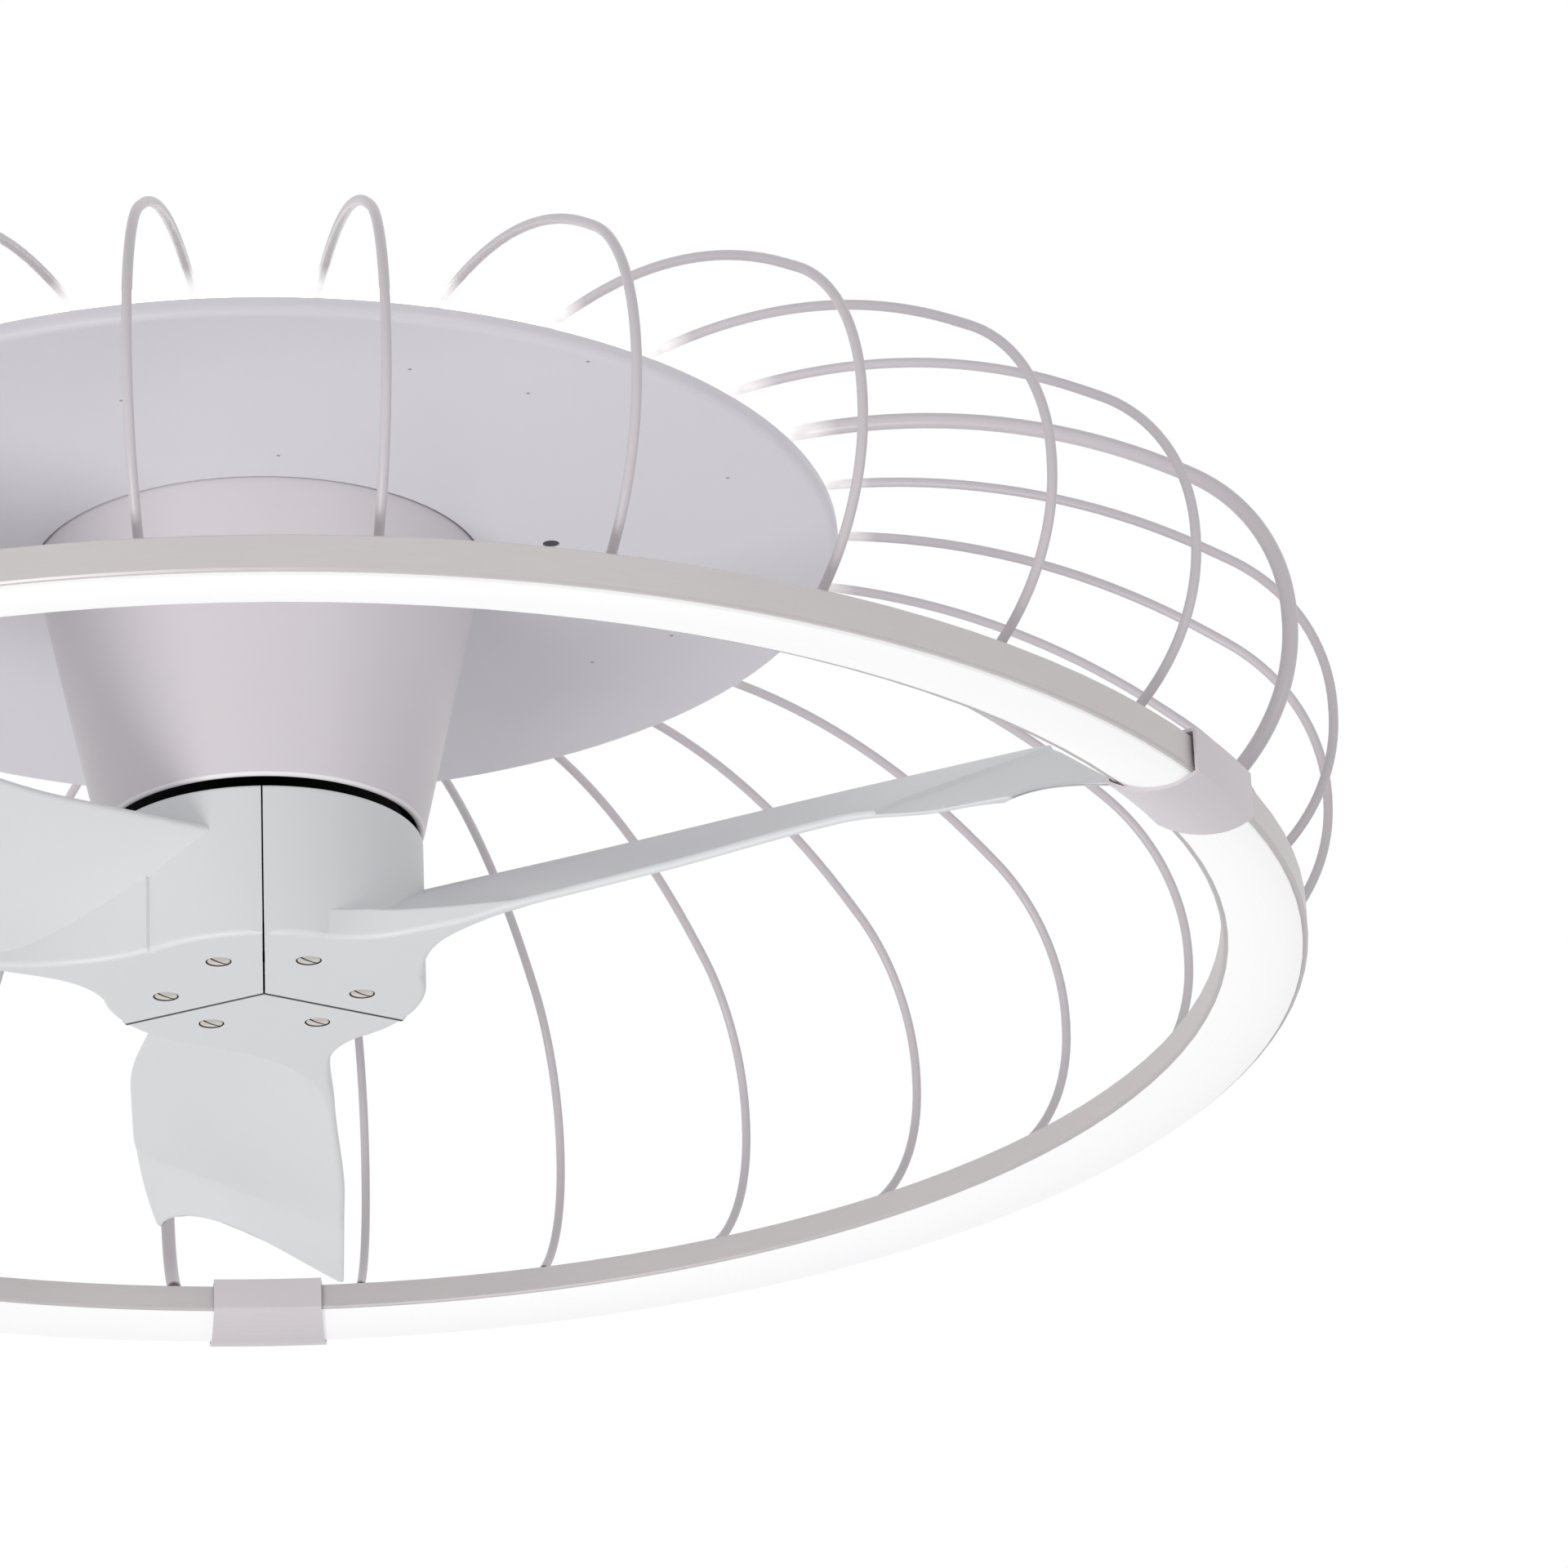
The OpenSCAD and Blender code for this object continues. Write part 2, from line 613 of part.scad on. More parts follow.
module motor_mount() color("silver") {
    // Flange under the arm plate with a tube for the two bearings
    fillet = 4;
    flange_low_z = arm_plate_low_z - flange_t;
    difference() {
        rotate_extrude() polygon([
            [bearing_r, arm_plate_low_z], [mount_flange_r, arm_plate_low_z],
            [mount_flange_r, flange_low_z], [tube_r + fillet, flange_low_z],
            [tube_r, flange_low_z - fillet], [tube_r, tube_low_z], [bearing_r, tube_low_z]
        ]);
        screw_holes(mount_screw_turns, mount_screw_r, flange_low_z, flange_t);
    }
}

module stator() color("darkgoldenrod") {
    // Toothed stack of sheets with a coil on each tooth
    neck_w = 5;
    shoe_t = 2.5;
    shoe_gap = 2.4;
    coil_t = 1.6;
    core_r = tube_r + 6;
    shoe_r = stator_r - shoe_t;
    translate([0, 0, stator_low_z]) difference() {
        union() {
            cylinder(r = core_r, h = stator_h);
            difference() {
                cylinder(r = stator_r, h = stator_h);
                translate([0, 0, -1]) cylinder(r = shoe_r, h = stator_h + 2);
                for (k = [0:teeth - 1]) rotate([0, 0, (k + 0.5) * 360 / teeth])
                    translate([shoe_r - 1, -shoe_gap / 2, -1]) cube([shoe_t + 2, shoe_gap, stator_h + 2]);
            }
            for (k = [0:teeth - 1]) rotate([0, 0, k * 360 / teeth]) {
                translate([core_r - 1, -neck_w / 2, 0]) cube([shoe_r - core_r + 2, neck_w, stator_h]);
                translate([core_r + 1.4, -neck_w / 2 - coil_t, -coil_t])
                    cube([shoe_r - core_r - 2.4, neck_w + 2 * coil_t, stator_h + 2 * coil_t]);
            }
        }
        translate([0, 0, -coil_t - 1]) cylinder(r = tube_r + fit_gap, h = stator_h + 2 * coil_t + 2);
    }
}

module bearing_ring(low) {
    // Two races with the ball track between them
    track_r = (shaft_r + bearing_r) / 2;
    track_w = 1.4;
    difference() {
        translate([0, 0, low]) cylinder(r = bearing_r - fit_gap, h = bearing_h);
        translate([0, 0, low - 1]) cylinder(r = shaft_r + fit_gap, h = bearing_h + 2);
        for (z = [low - 1, low + bearing_h - 1]) difference() {
            translate([0, 0, z]) cylinder(r = track_r + track_w, h = 2);
            translate([0, 0, z - 1]) cylinder(r = track_r - track_w, h = 4);
        }
    }
}

module bearings() color("lightgray") {
    bearing_ring(bearing_top_z - bearing_h);
    bearing_ring(tube_low_z);
}

module ring_profile() color([0.79, 0.77, 0.77]) {
    // Extruded channel, open downward, with chamfered lips
    c = chamfer;
    in_low = lip_z + diffuser_rise + fit_gap;
    rotate_extrude($fn = 256) polygon([
        [ring_r - ring_wall, lip_z], [ring_r - c, lip_z], [ring_r, lip_z + c],
        [ring_r, ring_top_z - c], [ring_r - c, ring_top_z], [ring_in_r + c, ring_top_z],
        [ring_in_r, ring_top_z - c], [ring_in_r, in_low + c], [ring_in_r + c, in_low],
        [ring_in_r + ring_wall, in_low], [ring_in_r + ring_wall, ring_top_z - ring_web],
        [ring_r - ring_wall, ring_top_z - ring_web]
    ]);
}

module ring_led_strip() color("lightyellow") {
    high = ring_top_z - ring_web;
    inner = ring_in_r + ring_wall + 1;
    outer = ring_r - ring_wall - 1;
    difference() {
        translate([0, 0, high - strip_t]) cylinder(r = outer, h = strip_t);
        translate([0, 0, high - strip_t - 1]) cylinder(r = inner, h = strip_t + 2);
    }
}

module ring_diffuser() color("white") {
    // Bowed strip between the profile's lips, lowest nearer to its outer edge
    a = ring_in_r + ring_wall + fit_gap;
    b = ring_r - ring_wall - fit_gap;
    mid = ring_r - crown_in;
    big1 = sweep(b - mid, crown - edge_drop);
    big2 = sweep(mid - a, crown + diffuser_rise);
    rotate_extrude($fn = 256) polygon(concat(
        bowl(mid, light_z, big1, big2, b, a),
        [[a, lip_z + diffuser_rise + diffuser_t], [mid, light_z + diffuser_t],
         [b, lip_z - edge_drop + diffuser_t]]
    ));
}

module clip(turn) color([0.82, 0.79, 0.81]) {
    // Sleeve of bent sheet round the ring, its underside bowed like the diffuser
    out = ring_r + clip_gap + clip_t;
    in = ring_in_r - clip_gap - clip_t;
    top = ring_top_z + clip_gap + clip_t;
    low = light_z - clip_low_gap - clip_t;
    mid = ring_r - crown_in;
    big1 = sweep(out - mid, lip_z - clip_corner - low);
    big2 = sweep(mid - in, lip_z + diffuser_rise - low);
    azimuth(turn) rotate_extrude(angle = clip_turn, start = -clip_turn / 2) polygon(concat(
        [[out - clip_t - clip_lip_w, top], [out, top]],
        bowl(mid, low, big1, big2, out, in),
        [[in, top], [in + clip_t + clip_lip_w, top], [in + clip_t + clip_lip_w, top - clip_t],
         [in + clip_t, top - clip_t]],
        reversed(bowl(mid, low, big1, big2, out - clip_t, in + clip_t, clip_t)),
        [[out - clip_t, top - clip_t], [out - clip_t - clip_lip_w, top - clip_t]]
    ));
}
module clip_1() clip(clip_turns[0]);
module clip_2() clip(clip_turns[1]);
module clip_3() clip(clip_turns[2]);

module wire_arc(x, z, r, from, to, d) {
    lap = wire_lap / r * 180 / PI;
    translate([x, 0, z]) rotate([90, 0, 0])
        rotate_extrude(angle = to - from + 2 * lap, start = from - lap, $fn = 128)
            translate([r, 0]) circle(d = d - bend_thin, $fn = 24);
}

module wire(d, turn) {
    // Level stretch, shoulder, slant, elbow with a short upright, and the leaning foot
    a = shoulder_turn;
    e = elbow_bend(d);
    s = shoulder_bend(d);
    start_r = halo_r - halo_wall - 1;
    azimuth(turn) {
        translate([start_r, 0, wire_z(d)]) rotate([0, 90, 0])
            cylinder(d = d, h = shoulder_r - start_r, $fn = 24);
        wire_arc(shoulder_r, wire_z(d) - s, s, 90 - a, 90, d);
        translate([slant_r(d), 0, slant_z(d)]) rotate([0, 90 + a, 0]) cylinder(d = d, h = slant_l, $fn = 24);
        wire_arc(cage_r - e, elbow_z(d), e, 0, 90 - a, d);
        translate([cage_r, 0, elbow_z(d) - upright_l]) cylinder(d = d, h = upright_l, $fn = 24);
        wire_arc(cage_r - e, elbow_z(d) - upright_l, e, -foot_turn, 0, d);
        translate([bent_r(d), 0, bent_z(d)]) rotate([0, 180 + foot_turn, 0])
            cylinder(d = d, h = lean_l(d) - foot_l, $fn = 24);
    }
}

module wire_feet() color("dimgray") {
    // Turned-down feet of the wires, cut level where they stand on the ring profile
    difference() {
        for (k = [0:wires - 1]) {
            d = is_arm(k) ? arm_d : wire_d;
            azimuth(place(k)) translate([bent_r(d), 0, bent_z(d)]) rotate([0, 180 + foot_turn, 0])
                translate([0, 0, lean_l(d) - foot_l])
                    cylinder(d = foot_d * (is_arm(k) ? arm_d / wire_d : 1), h = foot_l + arm_d, $fn = 32);
        }
        translate([0, 0, lip_z]) difference() {
            cylinder(r = ring_r, h = ring_h);
            translate([0, 0, -1]) cylinder(r = ring_in_r, h = ring_h + 2);
        }
    }
}

module rotor_can() color("gray") {
    difference() {
        translate([0, 0, can_low_z]) cylinder(r = can_r, h = can_top_z - can_low_z);
        translate([0, 0, can_low_z + can_wall]) cylinder(r = can_in_r, h = can_top_z - can_low_z);
        translate([0, 0, can_low_z - 1]) cylinder(r = shaft_r + fit_gap, h = can_wall + 2);
    }
}

module rotor_magnets() color("dimgray") {
    gap = 4;
    for (k = [0:poles - 1]) rotate([0, 0, k * 360 / poles])
        rotate_extrude(angle = 360 / poles - gap) translate([magnet_in_r, stator_low_z])
            square([magnet_t - fit_gap, stator_h]);
}

module rotor_shaft() color("silver") {
    end_h = 3;
    translate([0, 0, carrier_z]) cylinder(r = shaft_r, h = bearing_top_z + end_h - carrier_z);
    translate([0, 0, bearing_top_z + fit_gap]) cylinder(r = shaft_r + collar_w, h = collar_h);
}

module hub_carrier() color("silver") {
    // Disc on the shaft with six bosses that the blades are screwed to
    boss_z = hub_low_z + hub_floor;
    difference() {
        union() {
            translate([0, 0, carrier_z]) cylinder(r = hub_r - hub_wall - carrier_gap, h = carrier_t);
            translate([0, 0, carrier_z]) cylinder(r = neck_r, h = can_low_z - carrier_z);
            for (turn = screw_azimuths) azimuth(turn)
                translate([screw_circle_r, 0, boss_z]) cylinder(r = boss_r, h = carrier_z - boss_z + 1);
        }
        translate([0, 0, carrier_z - 1]) cylinder(r = shaft_r + fit_gap, h = can_low_z - carrier_z + 2);
        screw_holes(screw_azimuths, screw_circle_r, boss_z, carrier_z + carrier_t - boss_z);
    }
}

module hub_sector() {
    // A third of the hub, held off its neighbours by half a seam on each side
    difference() {
        rotate_extrude(angle = sector_turn, start = -sector_turn / 2) polygon(concat(
            [[0, hub_low_z]], arc(hub_r - hub_edge, hub_low_z + hub_edge, hub_edge, -90, 0, 5),
            [[hub_r, hub_top_z], [hub_r - hub_wall, hub_top_z], [hub_r - hub_wall, hub_low_z + hub_floor],
             [0, hub_low_z + hub_floor]]
        ));
        for (s = [-1, 1]) {
            rotate([0, 0, s * sector_turn / 2]) translate([-hub_r, -seam / 2, hub_low_z - 1])
                cube([3 * hub_r, seam, hub_h + 2]);
            rotate([0, 0, s * screw_turn]) translate([screw_circle_r, 0, hub_low_z - 1]) {
                cylinder(r = shank_r, h = hub_floor + 2, $fn = 32);
                cylinder(r = recess_r, h = recess_h + 1, $fn = 48);
            }
        }
    }
}

// Lean of the straight line between two places on the chord at the hub
function lean_between(v, w) =
    atan((chord_h(hub_r, w) - chord_h(hub_r, v)) / (chord_t(hub_r, w) - chord_t(hub_r, v)));

module blade_root() {
    // Flat floor with a hollow flare behind it, filled up to the blade's underside
    lip_t = nose_t(flare_end_r) + floor_lip;
    difference() {
        translate([0, 0, hub_low_z]) linear_extrude(rear_root_h) difference() {
            polygon([[hub_r / 2, nose_t(hub_r)], [floor_end_r, nose_t(floor_end_r)], [flare_end_r, lip_t],
                     [flare_end_r, flare_start_t], [hub_r / 2, flare_start_t]]);
            translate([flare_end_r, lip_t + flare_r]) circle(r = flare_r, $fn = 128);
        }
        // Two planes that meet where the blade arches most
        for (v = [0, 1]) translate([0, chord_t(hub_r, arch_at), lip_z + chord_h(hub_r, arch_at) - blade_t / 3])
            rotate([lean_between(v, arch_at), 0, 0]) translate([-far / 2, -far / 2, 0]) cube(far);
        translate([0, 0, hub_low_z - 1]) cylinder(r = hub_r - hub_wall / 2, h = hub_h);
    }
}

module blade_web() {
    // Front wall of the root, tallest at the hub and gone where the front edge runs free
    start_t = -hub_r * sin(40);
    bend_t = nose_t(web_bend_r);
    fall = atan(web_h / (web_end_r - hub_r));
    difference() {
        translate([0, 0, hub_low_z]) linear_extrude(web_h) difference() {
            polygon([[hub_r / 2, start_t], [web_bend_r, start_t], [web_bend_r, bend_t],
                     [web_end_r, nose_t(web_end_r)], [web_end_r, bend_t / 2], [hub_r / 2, bend_t / 2]]);
            translate([web_bend_r, bend_t - web_r]) circle(r = web_r, $fn = 128);
        }
        translate([hub_r, 0, hub_low_z + web_h]) rotate([0, fall, 0])
            translate([-far / 2, -far / 2, 0]) cube(far);
        translate([0, 0, hub_low_z - 1]) cylinder(r = hub_r - hub_wall / 2, h = hub_h);
    }
}

function sheet_point(u, v, across, side) =
    let (r = root_r(v) + u * (end_r(v) - root_r(v)), p = lean(r, v))
    let (t = chord_t(r, v), z = lip_z + chord_h(r, v) - drop(r, v))
    [r, t + across * cos(p) - side * sin(p), z + across * sin(p) + side * cos(p)];

function sheet_loop(u) =
    let (h = blade_t / 2)
    concat(
        [for (a = round_turns) sheet_point(u, 0, -h * sin(a), h * cos(a))],
        [for (k = [0:chord_steps]) sheet_point(u, k / chord_steps, 0, h)],
        [for (k = [2:-1:0]) sheet_point(u, 1, h * sin(round_turns[k]), h * cos(round_turns[k]))],
        [for (a = round_turns) sheet_point(u, 1, h * sin(a), -h * cos(a))],
        [for (k = [chord_steps:-1:0]) sheet_point(u, k / chord_steps, 0, -h)],
        [for (k = [2:-1:0]) sheet_point(u, 0, -h * sin(round_turns[k]), -h * cos(round_turns[k]))]
    );

module blade_sheet() {
    loops = [for (i = [0:sections]) sheet_loop(i / sections)];
    n = len(loops[0]);
    half = n / 2;
    function at(i, k) = i * n + k % n;
    sides = [for (i = [0:sections - 1]) for (k = [0:n - 1])
        for (f = [[at(i, k), at(i, k + 1), at(i + 1, k + 1)], [at(i, k), at(i + 1, k + 1), at(i + 1, k)]]) f];
    caps = [for (k = [0:half - 2]) for (f = [
        [at(0, k), at(0, n - 1 - k), at(0, k + 1)], [at(0, k + 1), at(0, n - 1 - k), at(0, n - 2 - k)],
        [at(sections, k), at(sections, k + 1), at(sections, n - 1 - k)],
        [at(sections, k + 1), at(sections, n - 2 - k), at(sections, n - 1 - k)]]) f];
    points = [for (loop = loops) for (p = loop) p];
    polyhedron(points = points, faces = concat(sides, caps));
}

module blade(k) color([0.84, 0.85, 0.86]) {
    azimuth(blade_turn + k * sector_turn) {
        hub_sector();
        blade_root();
        blade_web();
        blade_sheet();
    }
}
module blade_1() blade(0);
module blade_2() blade(1);
module blade_3() blade(2);

module blade_screws() color("antiquewhite") {
    length = carrier_z + carrier_t - hub_low_z - recess_h;
    for (turn = screw_azimuths) azimuth(turn)
        translate([screw_circle_r, 0, hub_low_z + recess_h])
            rotate([0, 0, 90 + slot_turn - turn]) screw(length);
}

module arm(k) color([0.76, 0.73, 0.76]) wire(arm_d, arm_places[k]);
module cage_wire(k) color([0.76, 0.73, 0.76]) wire(wire_d, wire_places[k - 1]);

mounting_bracket();
base_pan();
cable_grommet();
driver_box();
terminal_block();
remote_receiver();
halo_led_strip();
halo_diffuser();
arm_plate();
frame_screws();
ceiling_disc();
motor_housing();
motor_mount();
stator();
bearings();
ring_profile();
ring_led_strip();
ring_diffuser();
clip_1();
clip_2();
clip_3();
wire_feet();
rotor_can();
rotor_magnets();
rotor_shaft();
hub_carrier();
blade_1();
blade_2();
blade_3();
blade_screws();
arm(0);  // arm_1
arm(1);  // arm_2
arm(2);  // arm_3
cage_wire(1);  // wire_01
cage_wire(2);  // wire_02
cage_wire(3);  // wire_03
cage_wire(4);  // wire_04
cage_wire(5);  // wire_05
cage_wire(6);  // wire_06
cage_wire(7);  // wire_07
cage_wire(8);  // wire_08
cage_wire(9);  // wire_09
cage_wire(10);  // wire_10
cage_wire(11);  // wire_11
cage_wire(12);  // wire_12
cage_wire(13);  // wire_13
cage_wire(14);  // wire_14
cage_wire(15);  // wire_15
cage_wire(16);  // wire_16
cage_wire(17);  // wire_17
cage_wire(18);  // wire_18
cage_wire(19);  // wire_19
cage_wire(20);  // wire_20
cage_wire(21);  // wire_21
cage_wire(22);  // wire_22
cage_wire(23);  // wire_23
cage_wire(24);  // wire_24
cage_wire(25);  // wire_25
cage_wire(26);  // wire_26
cage_wire(27);  // wire_27
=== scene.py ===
# %% [markdown]
# # A caged ceiling fan, seen from below
# This lesson dresses a ceiling fan for a picture. The fan's pieces come ready made at their real
# size, and hang from z = 0 into negative z. What is made here is what the eye judges: the camera,
# the light, the finish of every surface, and the pieces whose soft edges matter most.

# %% Load the fan
import json
import math

import bmesh
import bpy
from mathutils import Matrix, Vector
from mathutils.geometry import tessellate_polygon


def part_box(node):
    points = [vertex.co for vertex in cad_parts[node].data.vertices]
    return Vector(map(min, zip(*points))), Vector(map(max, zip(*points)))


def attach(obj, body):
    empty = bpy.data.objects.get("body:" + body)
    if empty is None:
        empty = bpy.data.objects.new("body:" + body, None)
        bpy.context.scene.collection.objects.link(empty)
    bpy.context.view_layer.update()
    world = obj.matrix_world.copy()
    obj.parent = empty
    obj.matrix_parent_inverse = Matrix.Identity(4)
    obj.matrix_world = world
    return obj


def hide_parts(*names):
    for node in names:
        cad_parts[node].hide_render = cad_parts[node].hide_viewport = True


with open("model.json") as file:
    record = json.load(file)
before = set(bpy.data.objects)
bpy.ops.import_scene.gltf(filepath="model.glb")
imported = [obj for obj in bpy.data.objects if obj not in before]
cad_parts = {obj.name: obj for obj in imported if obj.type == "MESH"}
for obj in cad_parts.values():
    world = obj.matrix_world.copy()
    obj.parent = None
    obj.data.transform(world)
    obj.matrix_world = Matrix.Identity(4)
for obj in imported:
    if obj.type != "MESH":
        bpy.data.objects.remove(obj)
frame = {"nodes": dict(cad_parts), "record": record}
scene = bpy.context.scene
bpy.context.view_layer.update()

# %% [markdown]
# ## Camera
# The picture was taken from below with a long lens, which keeps the far side of the ring nearly as
# large as its near side. The camera stands in front of the fan and looks a little past its axis to
# the right, so the picture's left edge cuts the fan. The frame is square, 1920 by 1920, so the
# sensor's 36 mm stand for its width and its height. The camera's place is in metres, and its three
# turns are in radians: to the right, upwards and about the line of sight.

# %% Camera
CAMERA_AT = Vector((0.0, -1.98215, -0.93374))
LENS_MM, SENSOR_MM = 169.40, 36.0
YAW, PITCH, ROLL = 0.0767, 0.3987, -0.0417

flat = math.cos(PITCH)
forward = Vector((math.sin(YAW) * flat, math.cos(YAW) * flat, math.sin(PITCH)))
level_right = Vector((math.cos(YAW), -math.sin(YAW), 0.0))
level_up = level_right.cross(forward)
right = math.cos(ROLL) * level_right + math.sin(ROLL) * level_up
up = -math.sin(ROLL) * level_right + math.cos(ROLL) * level_up

camera_data = bpy.data.cameras.new("photo_camera")
camera_data.lens = LENS_MM
camera_data.sensor_width = SENSOR_MM
camera = bpy.data.objects.new("photo_camera", camera_data)
camera.matrix_world = Matrix((
    (right.x, up.x, -forward.x, CAMERA_AT.x),
    (right.y, up.y, -forward.y, CAMERA_AT.y),
    (right.z, up.z, -forward.z, CAMERA_AT.z),
    (0.0, 0.0, 0.0, 1.0),
))
scene.collection.objects.link(camera)
scene.camera = camera
print("camera looks along", [round(c, 3) for c in forward])

# %% [markdown]
# ## Shader maths as Python
# A node tree is easier to read as an expression. `Wire` wraps one socket. An operator between two
# of them adds a Math node, and `add_node` makes any other node from its settings and its inputs.

# %% A socket that can be reckoned with
class Wire:
    """One output socket of a node tree, usable in ordinary arithmetic."""

    def __init__(self, tree, socket):
        self.tree = tree
        self.socket = socket

    def math(self, operation, *others, clamp=False):
        """Adds a Math node on this socket and others, and gives back its result."""
        node = self.tree.nodes.new("ShaderNodeMath")
        node.operation = operation
        node.use_clamp = clamp
        for slot, value in zip(node.inputs, (self,) + others):
            plug(self.tree, slot, value)
        return Wire(self.tree, node.outputs[0])

    def __add__(self, other):
        return self.math("ADD", other)

    __radd__ = __add__

    def __mul__(self, other):
        return self.math("MULTIPLY", other)

    __rmul__ = __mul__

    def __sub__(self, other):
        return self.math("SUBTRACT", other)

    def __rsub__(self, other):
        return (self * -1.0) + other

    def __pow__(self, other):
        return self.math("POWER", other)


def plug(tree, slot, value):
    """Links a Wire to a socket, or sets the socket to a plain value."""
    if isinstance(value, Wire):
        tree.links.new(value.socket, slot)
    elif isinstance(value, (tuple, list)) and len(value) == 3 and slot.type == "RGBA":
        slot.default_value = (*value, 1.0)
    else:
        slot.default_value = value


# %% [markdown]
# `Finish` holds one material. It starts with a Principled shader and offers the few building
# blocks that every finish here is made of: a place on the object, noise, a blend of two colours,
# and a bump. What changes with the distance from the fan's axis asks `from_axis` for it.

# %% One material and its building blocks
class Finish:
    def __init__(self, name):
        self.material = bpy.data.materials.new(name)
        self.material.use_nodes = True
        self.tree = self.material.node_tree
        self.tree.nodes.clear()
        self.output = self.tree.nodes.new("ShaderNodeOutputMaterial")
        self.shader = self.tree.nodes.new("ShaderNodeBsdfPrincipled")
        self.tree.links.new(self.shader.outputs[0], self.output.inputs["Surface"])

    def add_node(self, kind, settings=None, inputs=None, out=0):
        node = self.tree.nodes.new(kind)
        for key, value in (settings or {}).items():
            setattr(node, key, value)
        for key, value in (inputs or {}).items():
            plug(self.tree, node.inputs[key], value)
        return Wire(self.tree, node.outputs[out])

    def place(self):
        return self.add_node("ShaderNodeTexCoord", out="Object")

    def split(self, vector):
        node = self.add_node("ShaderNodeSeparateXYZ", inputs={"Vector": vector}).socket.node
        return [Wire(self.tree, node.outputs[i]) for i in range(3)]

    def join(self, x, y, z):
        return self.add_node("ShaderNodeCombineXYZ", inputs={"X": x, "Y": y, "Z": z})

    def noise(self, size_mm, detail=3.0, roughness=0.55, where=None):
        """Noise between 0 and 1 whose lumps are about size_mm across."""
        return self.add_node(
            "ShaderNodeTexNoise",
            inputs={"Vector": where or self.place(), "Scale": 1000.0 / size_mm,
                    "Detail": detail, "Roughness": roughness},
        )

    def blend(self, share, low, high):
        return self.add_node(
            "ShaderNodeMix", {"data_type": "RGBA"}, {0: share, 6: low, 7: high}, out=2)

    def between(self, value, low, high):
        """Maps a wire from 0..1 to low..high."""
        return value * (high - low) + low

    def bump(self, height, depth_mm, strength=1.0):
        return self.add_node(
            "ShaderNodeBump",
            inputs={"Height": height, "Distance": depth_mm / 1000.0, "Strength": strength})

    def set(self, **sockets):
        for key, value in sockets.items():
            plug(self.tree, self.shader.inputs[key.replace("_", " ")], value)


def from_axis(x, y):
    return (x * x + y * y) ** 0.5


# %% [markdown]
# ## Powder paint
# Disc, housing, clips and wires are painted sheet and wire. Powder paint is never mirror smooth:
# it has a faint orange-peel relief, a little unevenness in gloss, and here and there a tone that
# is a touch warmer. Three noises at three sizes give that. The housing's rim has a painted
# highlight, and the disc has a few specks of dust. Next to the light above the disc, a painted
# glare makes the wires glow white.
# Heights and distances from the axis are in metres here, specks in millimetres, and the glare's
# reach is a share of the disc's radius.

# %% Painted metal
RIM_HIGHLIGHT, DUST = (0.90, 0.87, 0.88), (0.30, 0.29, 0.31)
NO_GLARE, FULL_GLARE = (0.0, 0.0, 0.0), (1.0, 0.995, 0.96)


def painted(name, colour, warm, gloss=(0.34, 0.46), peel_mm=0.9, peel_depth=0.02,
            rim=None, dots=None, glare=None):
    """A painted highlight brightens the paint below the height rim. dots are the specks' spacing
    and radius, and the painted glare fades between two distances from the axis."""
    f = Finish(name)
    # Painted glare: the wires themselves glow white near the light above the disc.
    if glare:
        near, far = glare
        x, y = f.split(f.place())[:2]
        share = (far - from_axis(x, y)).math("DIVIDE", far - near, clamp=True)
        f.set(Emission_Color=f.blend(share, NO_GLARE, FULL_GLARE), Emission_Strength=1.0)
    cloud = f.noise(60.0, 2.0)
    speck = f.noise(2.5, 4.0)
    tone = f.blend(cloud * 0.7 + speck * 0.3, colour, warm)
    # Painted highlight: a bright band along the housing's lower rim.
    if rim:
        z = f.split(f.place())[2]
        tone = f.blend(z.math("LESS_THAN", rim), tone, RIM_HIGHLIGHT)
    if dots:
        spread, size = dots
        x, y = f.split(f.place())[:2]
        near = f.add_node("ShaderNodeTexVoronoi", {"voronoi_dimensions": "2D"},
                          {"Vector": f.join(x, y, 0.0), "Scale": 1000.0 / spread})
        tone = f.blend(near.math("LESS_THAN", size / spread), tone, DUST)
    peel = f.noise(peel_mm, 2.0)
    f.set(Base_Color=tone, Roughness=f.between(speck, *gloss), Metallic=0.0,
          Specular_IOR_Level=0.45, Normal=f.bump(peel, peel_depth, 0.5))
    return f.material


RIM_H = 0.0009
DUST_SPREAD, DUST_R = 62.0, 0.55
GLARE_FULL, GLARE_GONE = 0.92, 1.07
housing_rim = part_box("motor_housing")[0][2] + RIM_H
disc_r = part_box("ceiling_disc")[1][0]
wire_glare = (GLARE_FULL * disc_r, GLARE_GONE * disc_r)
disc_paint = painted("disc_paint", (0.71, 0.70, 0.74), (0.745, 0.725, 0.755),
                     dots=(DUST_SPREAD, DUST_R))
housing_paint = painted("housing_paint", (0.68, 0.65, 0.68), (0.73, 0.68, 0.70), rim=housing_rim)
clip_paint = painted("clip_paint", (0.66, 0.62, 0.64), (0.70, 0.655, 0.67), gloss=(0.28, 0.4))
wire_paint = painted("wire_paint", (0.58, 0.545, 0.565), (0.63, 0.585, 0.605), gloss=(0.3, 0.4),
                     peel_depth=0.002, glare=wire_glare)
pan_paint = painted("pan_paint", (0.64, 0.64, 0.66), (0.68, 0.67, 0.68), gloss=(0.4, 0.55))
print("the wires' glare fades from", [round(r, 3) for r in wire_glare], "metres off the axis")

# %% [markdown]
# ## Anodised ring
# The ring profile is drawn aluminium, bent to a circle and anodised. Its grain runs round the
# ring, so the noise is stretched along the circle: the radius and the height are read finely and
# the angle coarsely.

# %% Brushed and anodised aluminium
GRAIN_STRETCH = 0.012


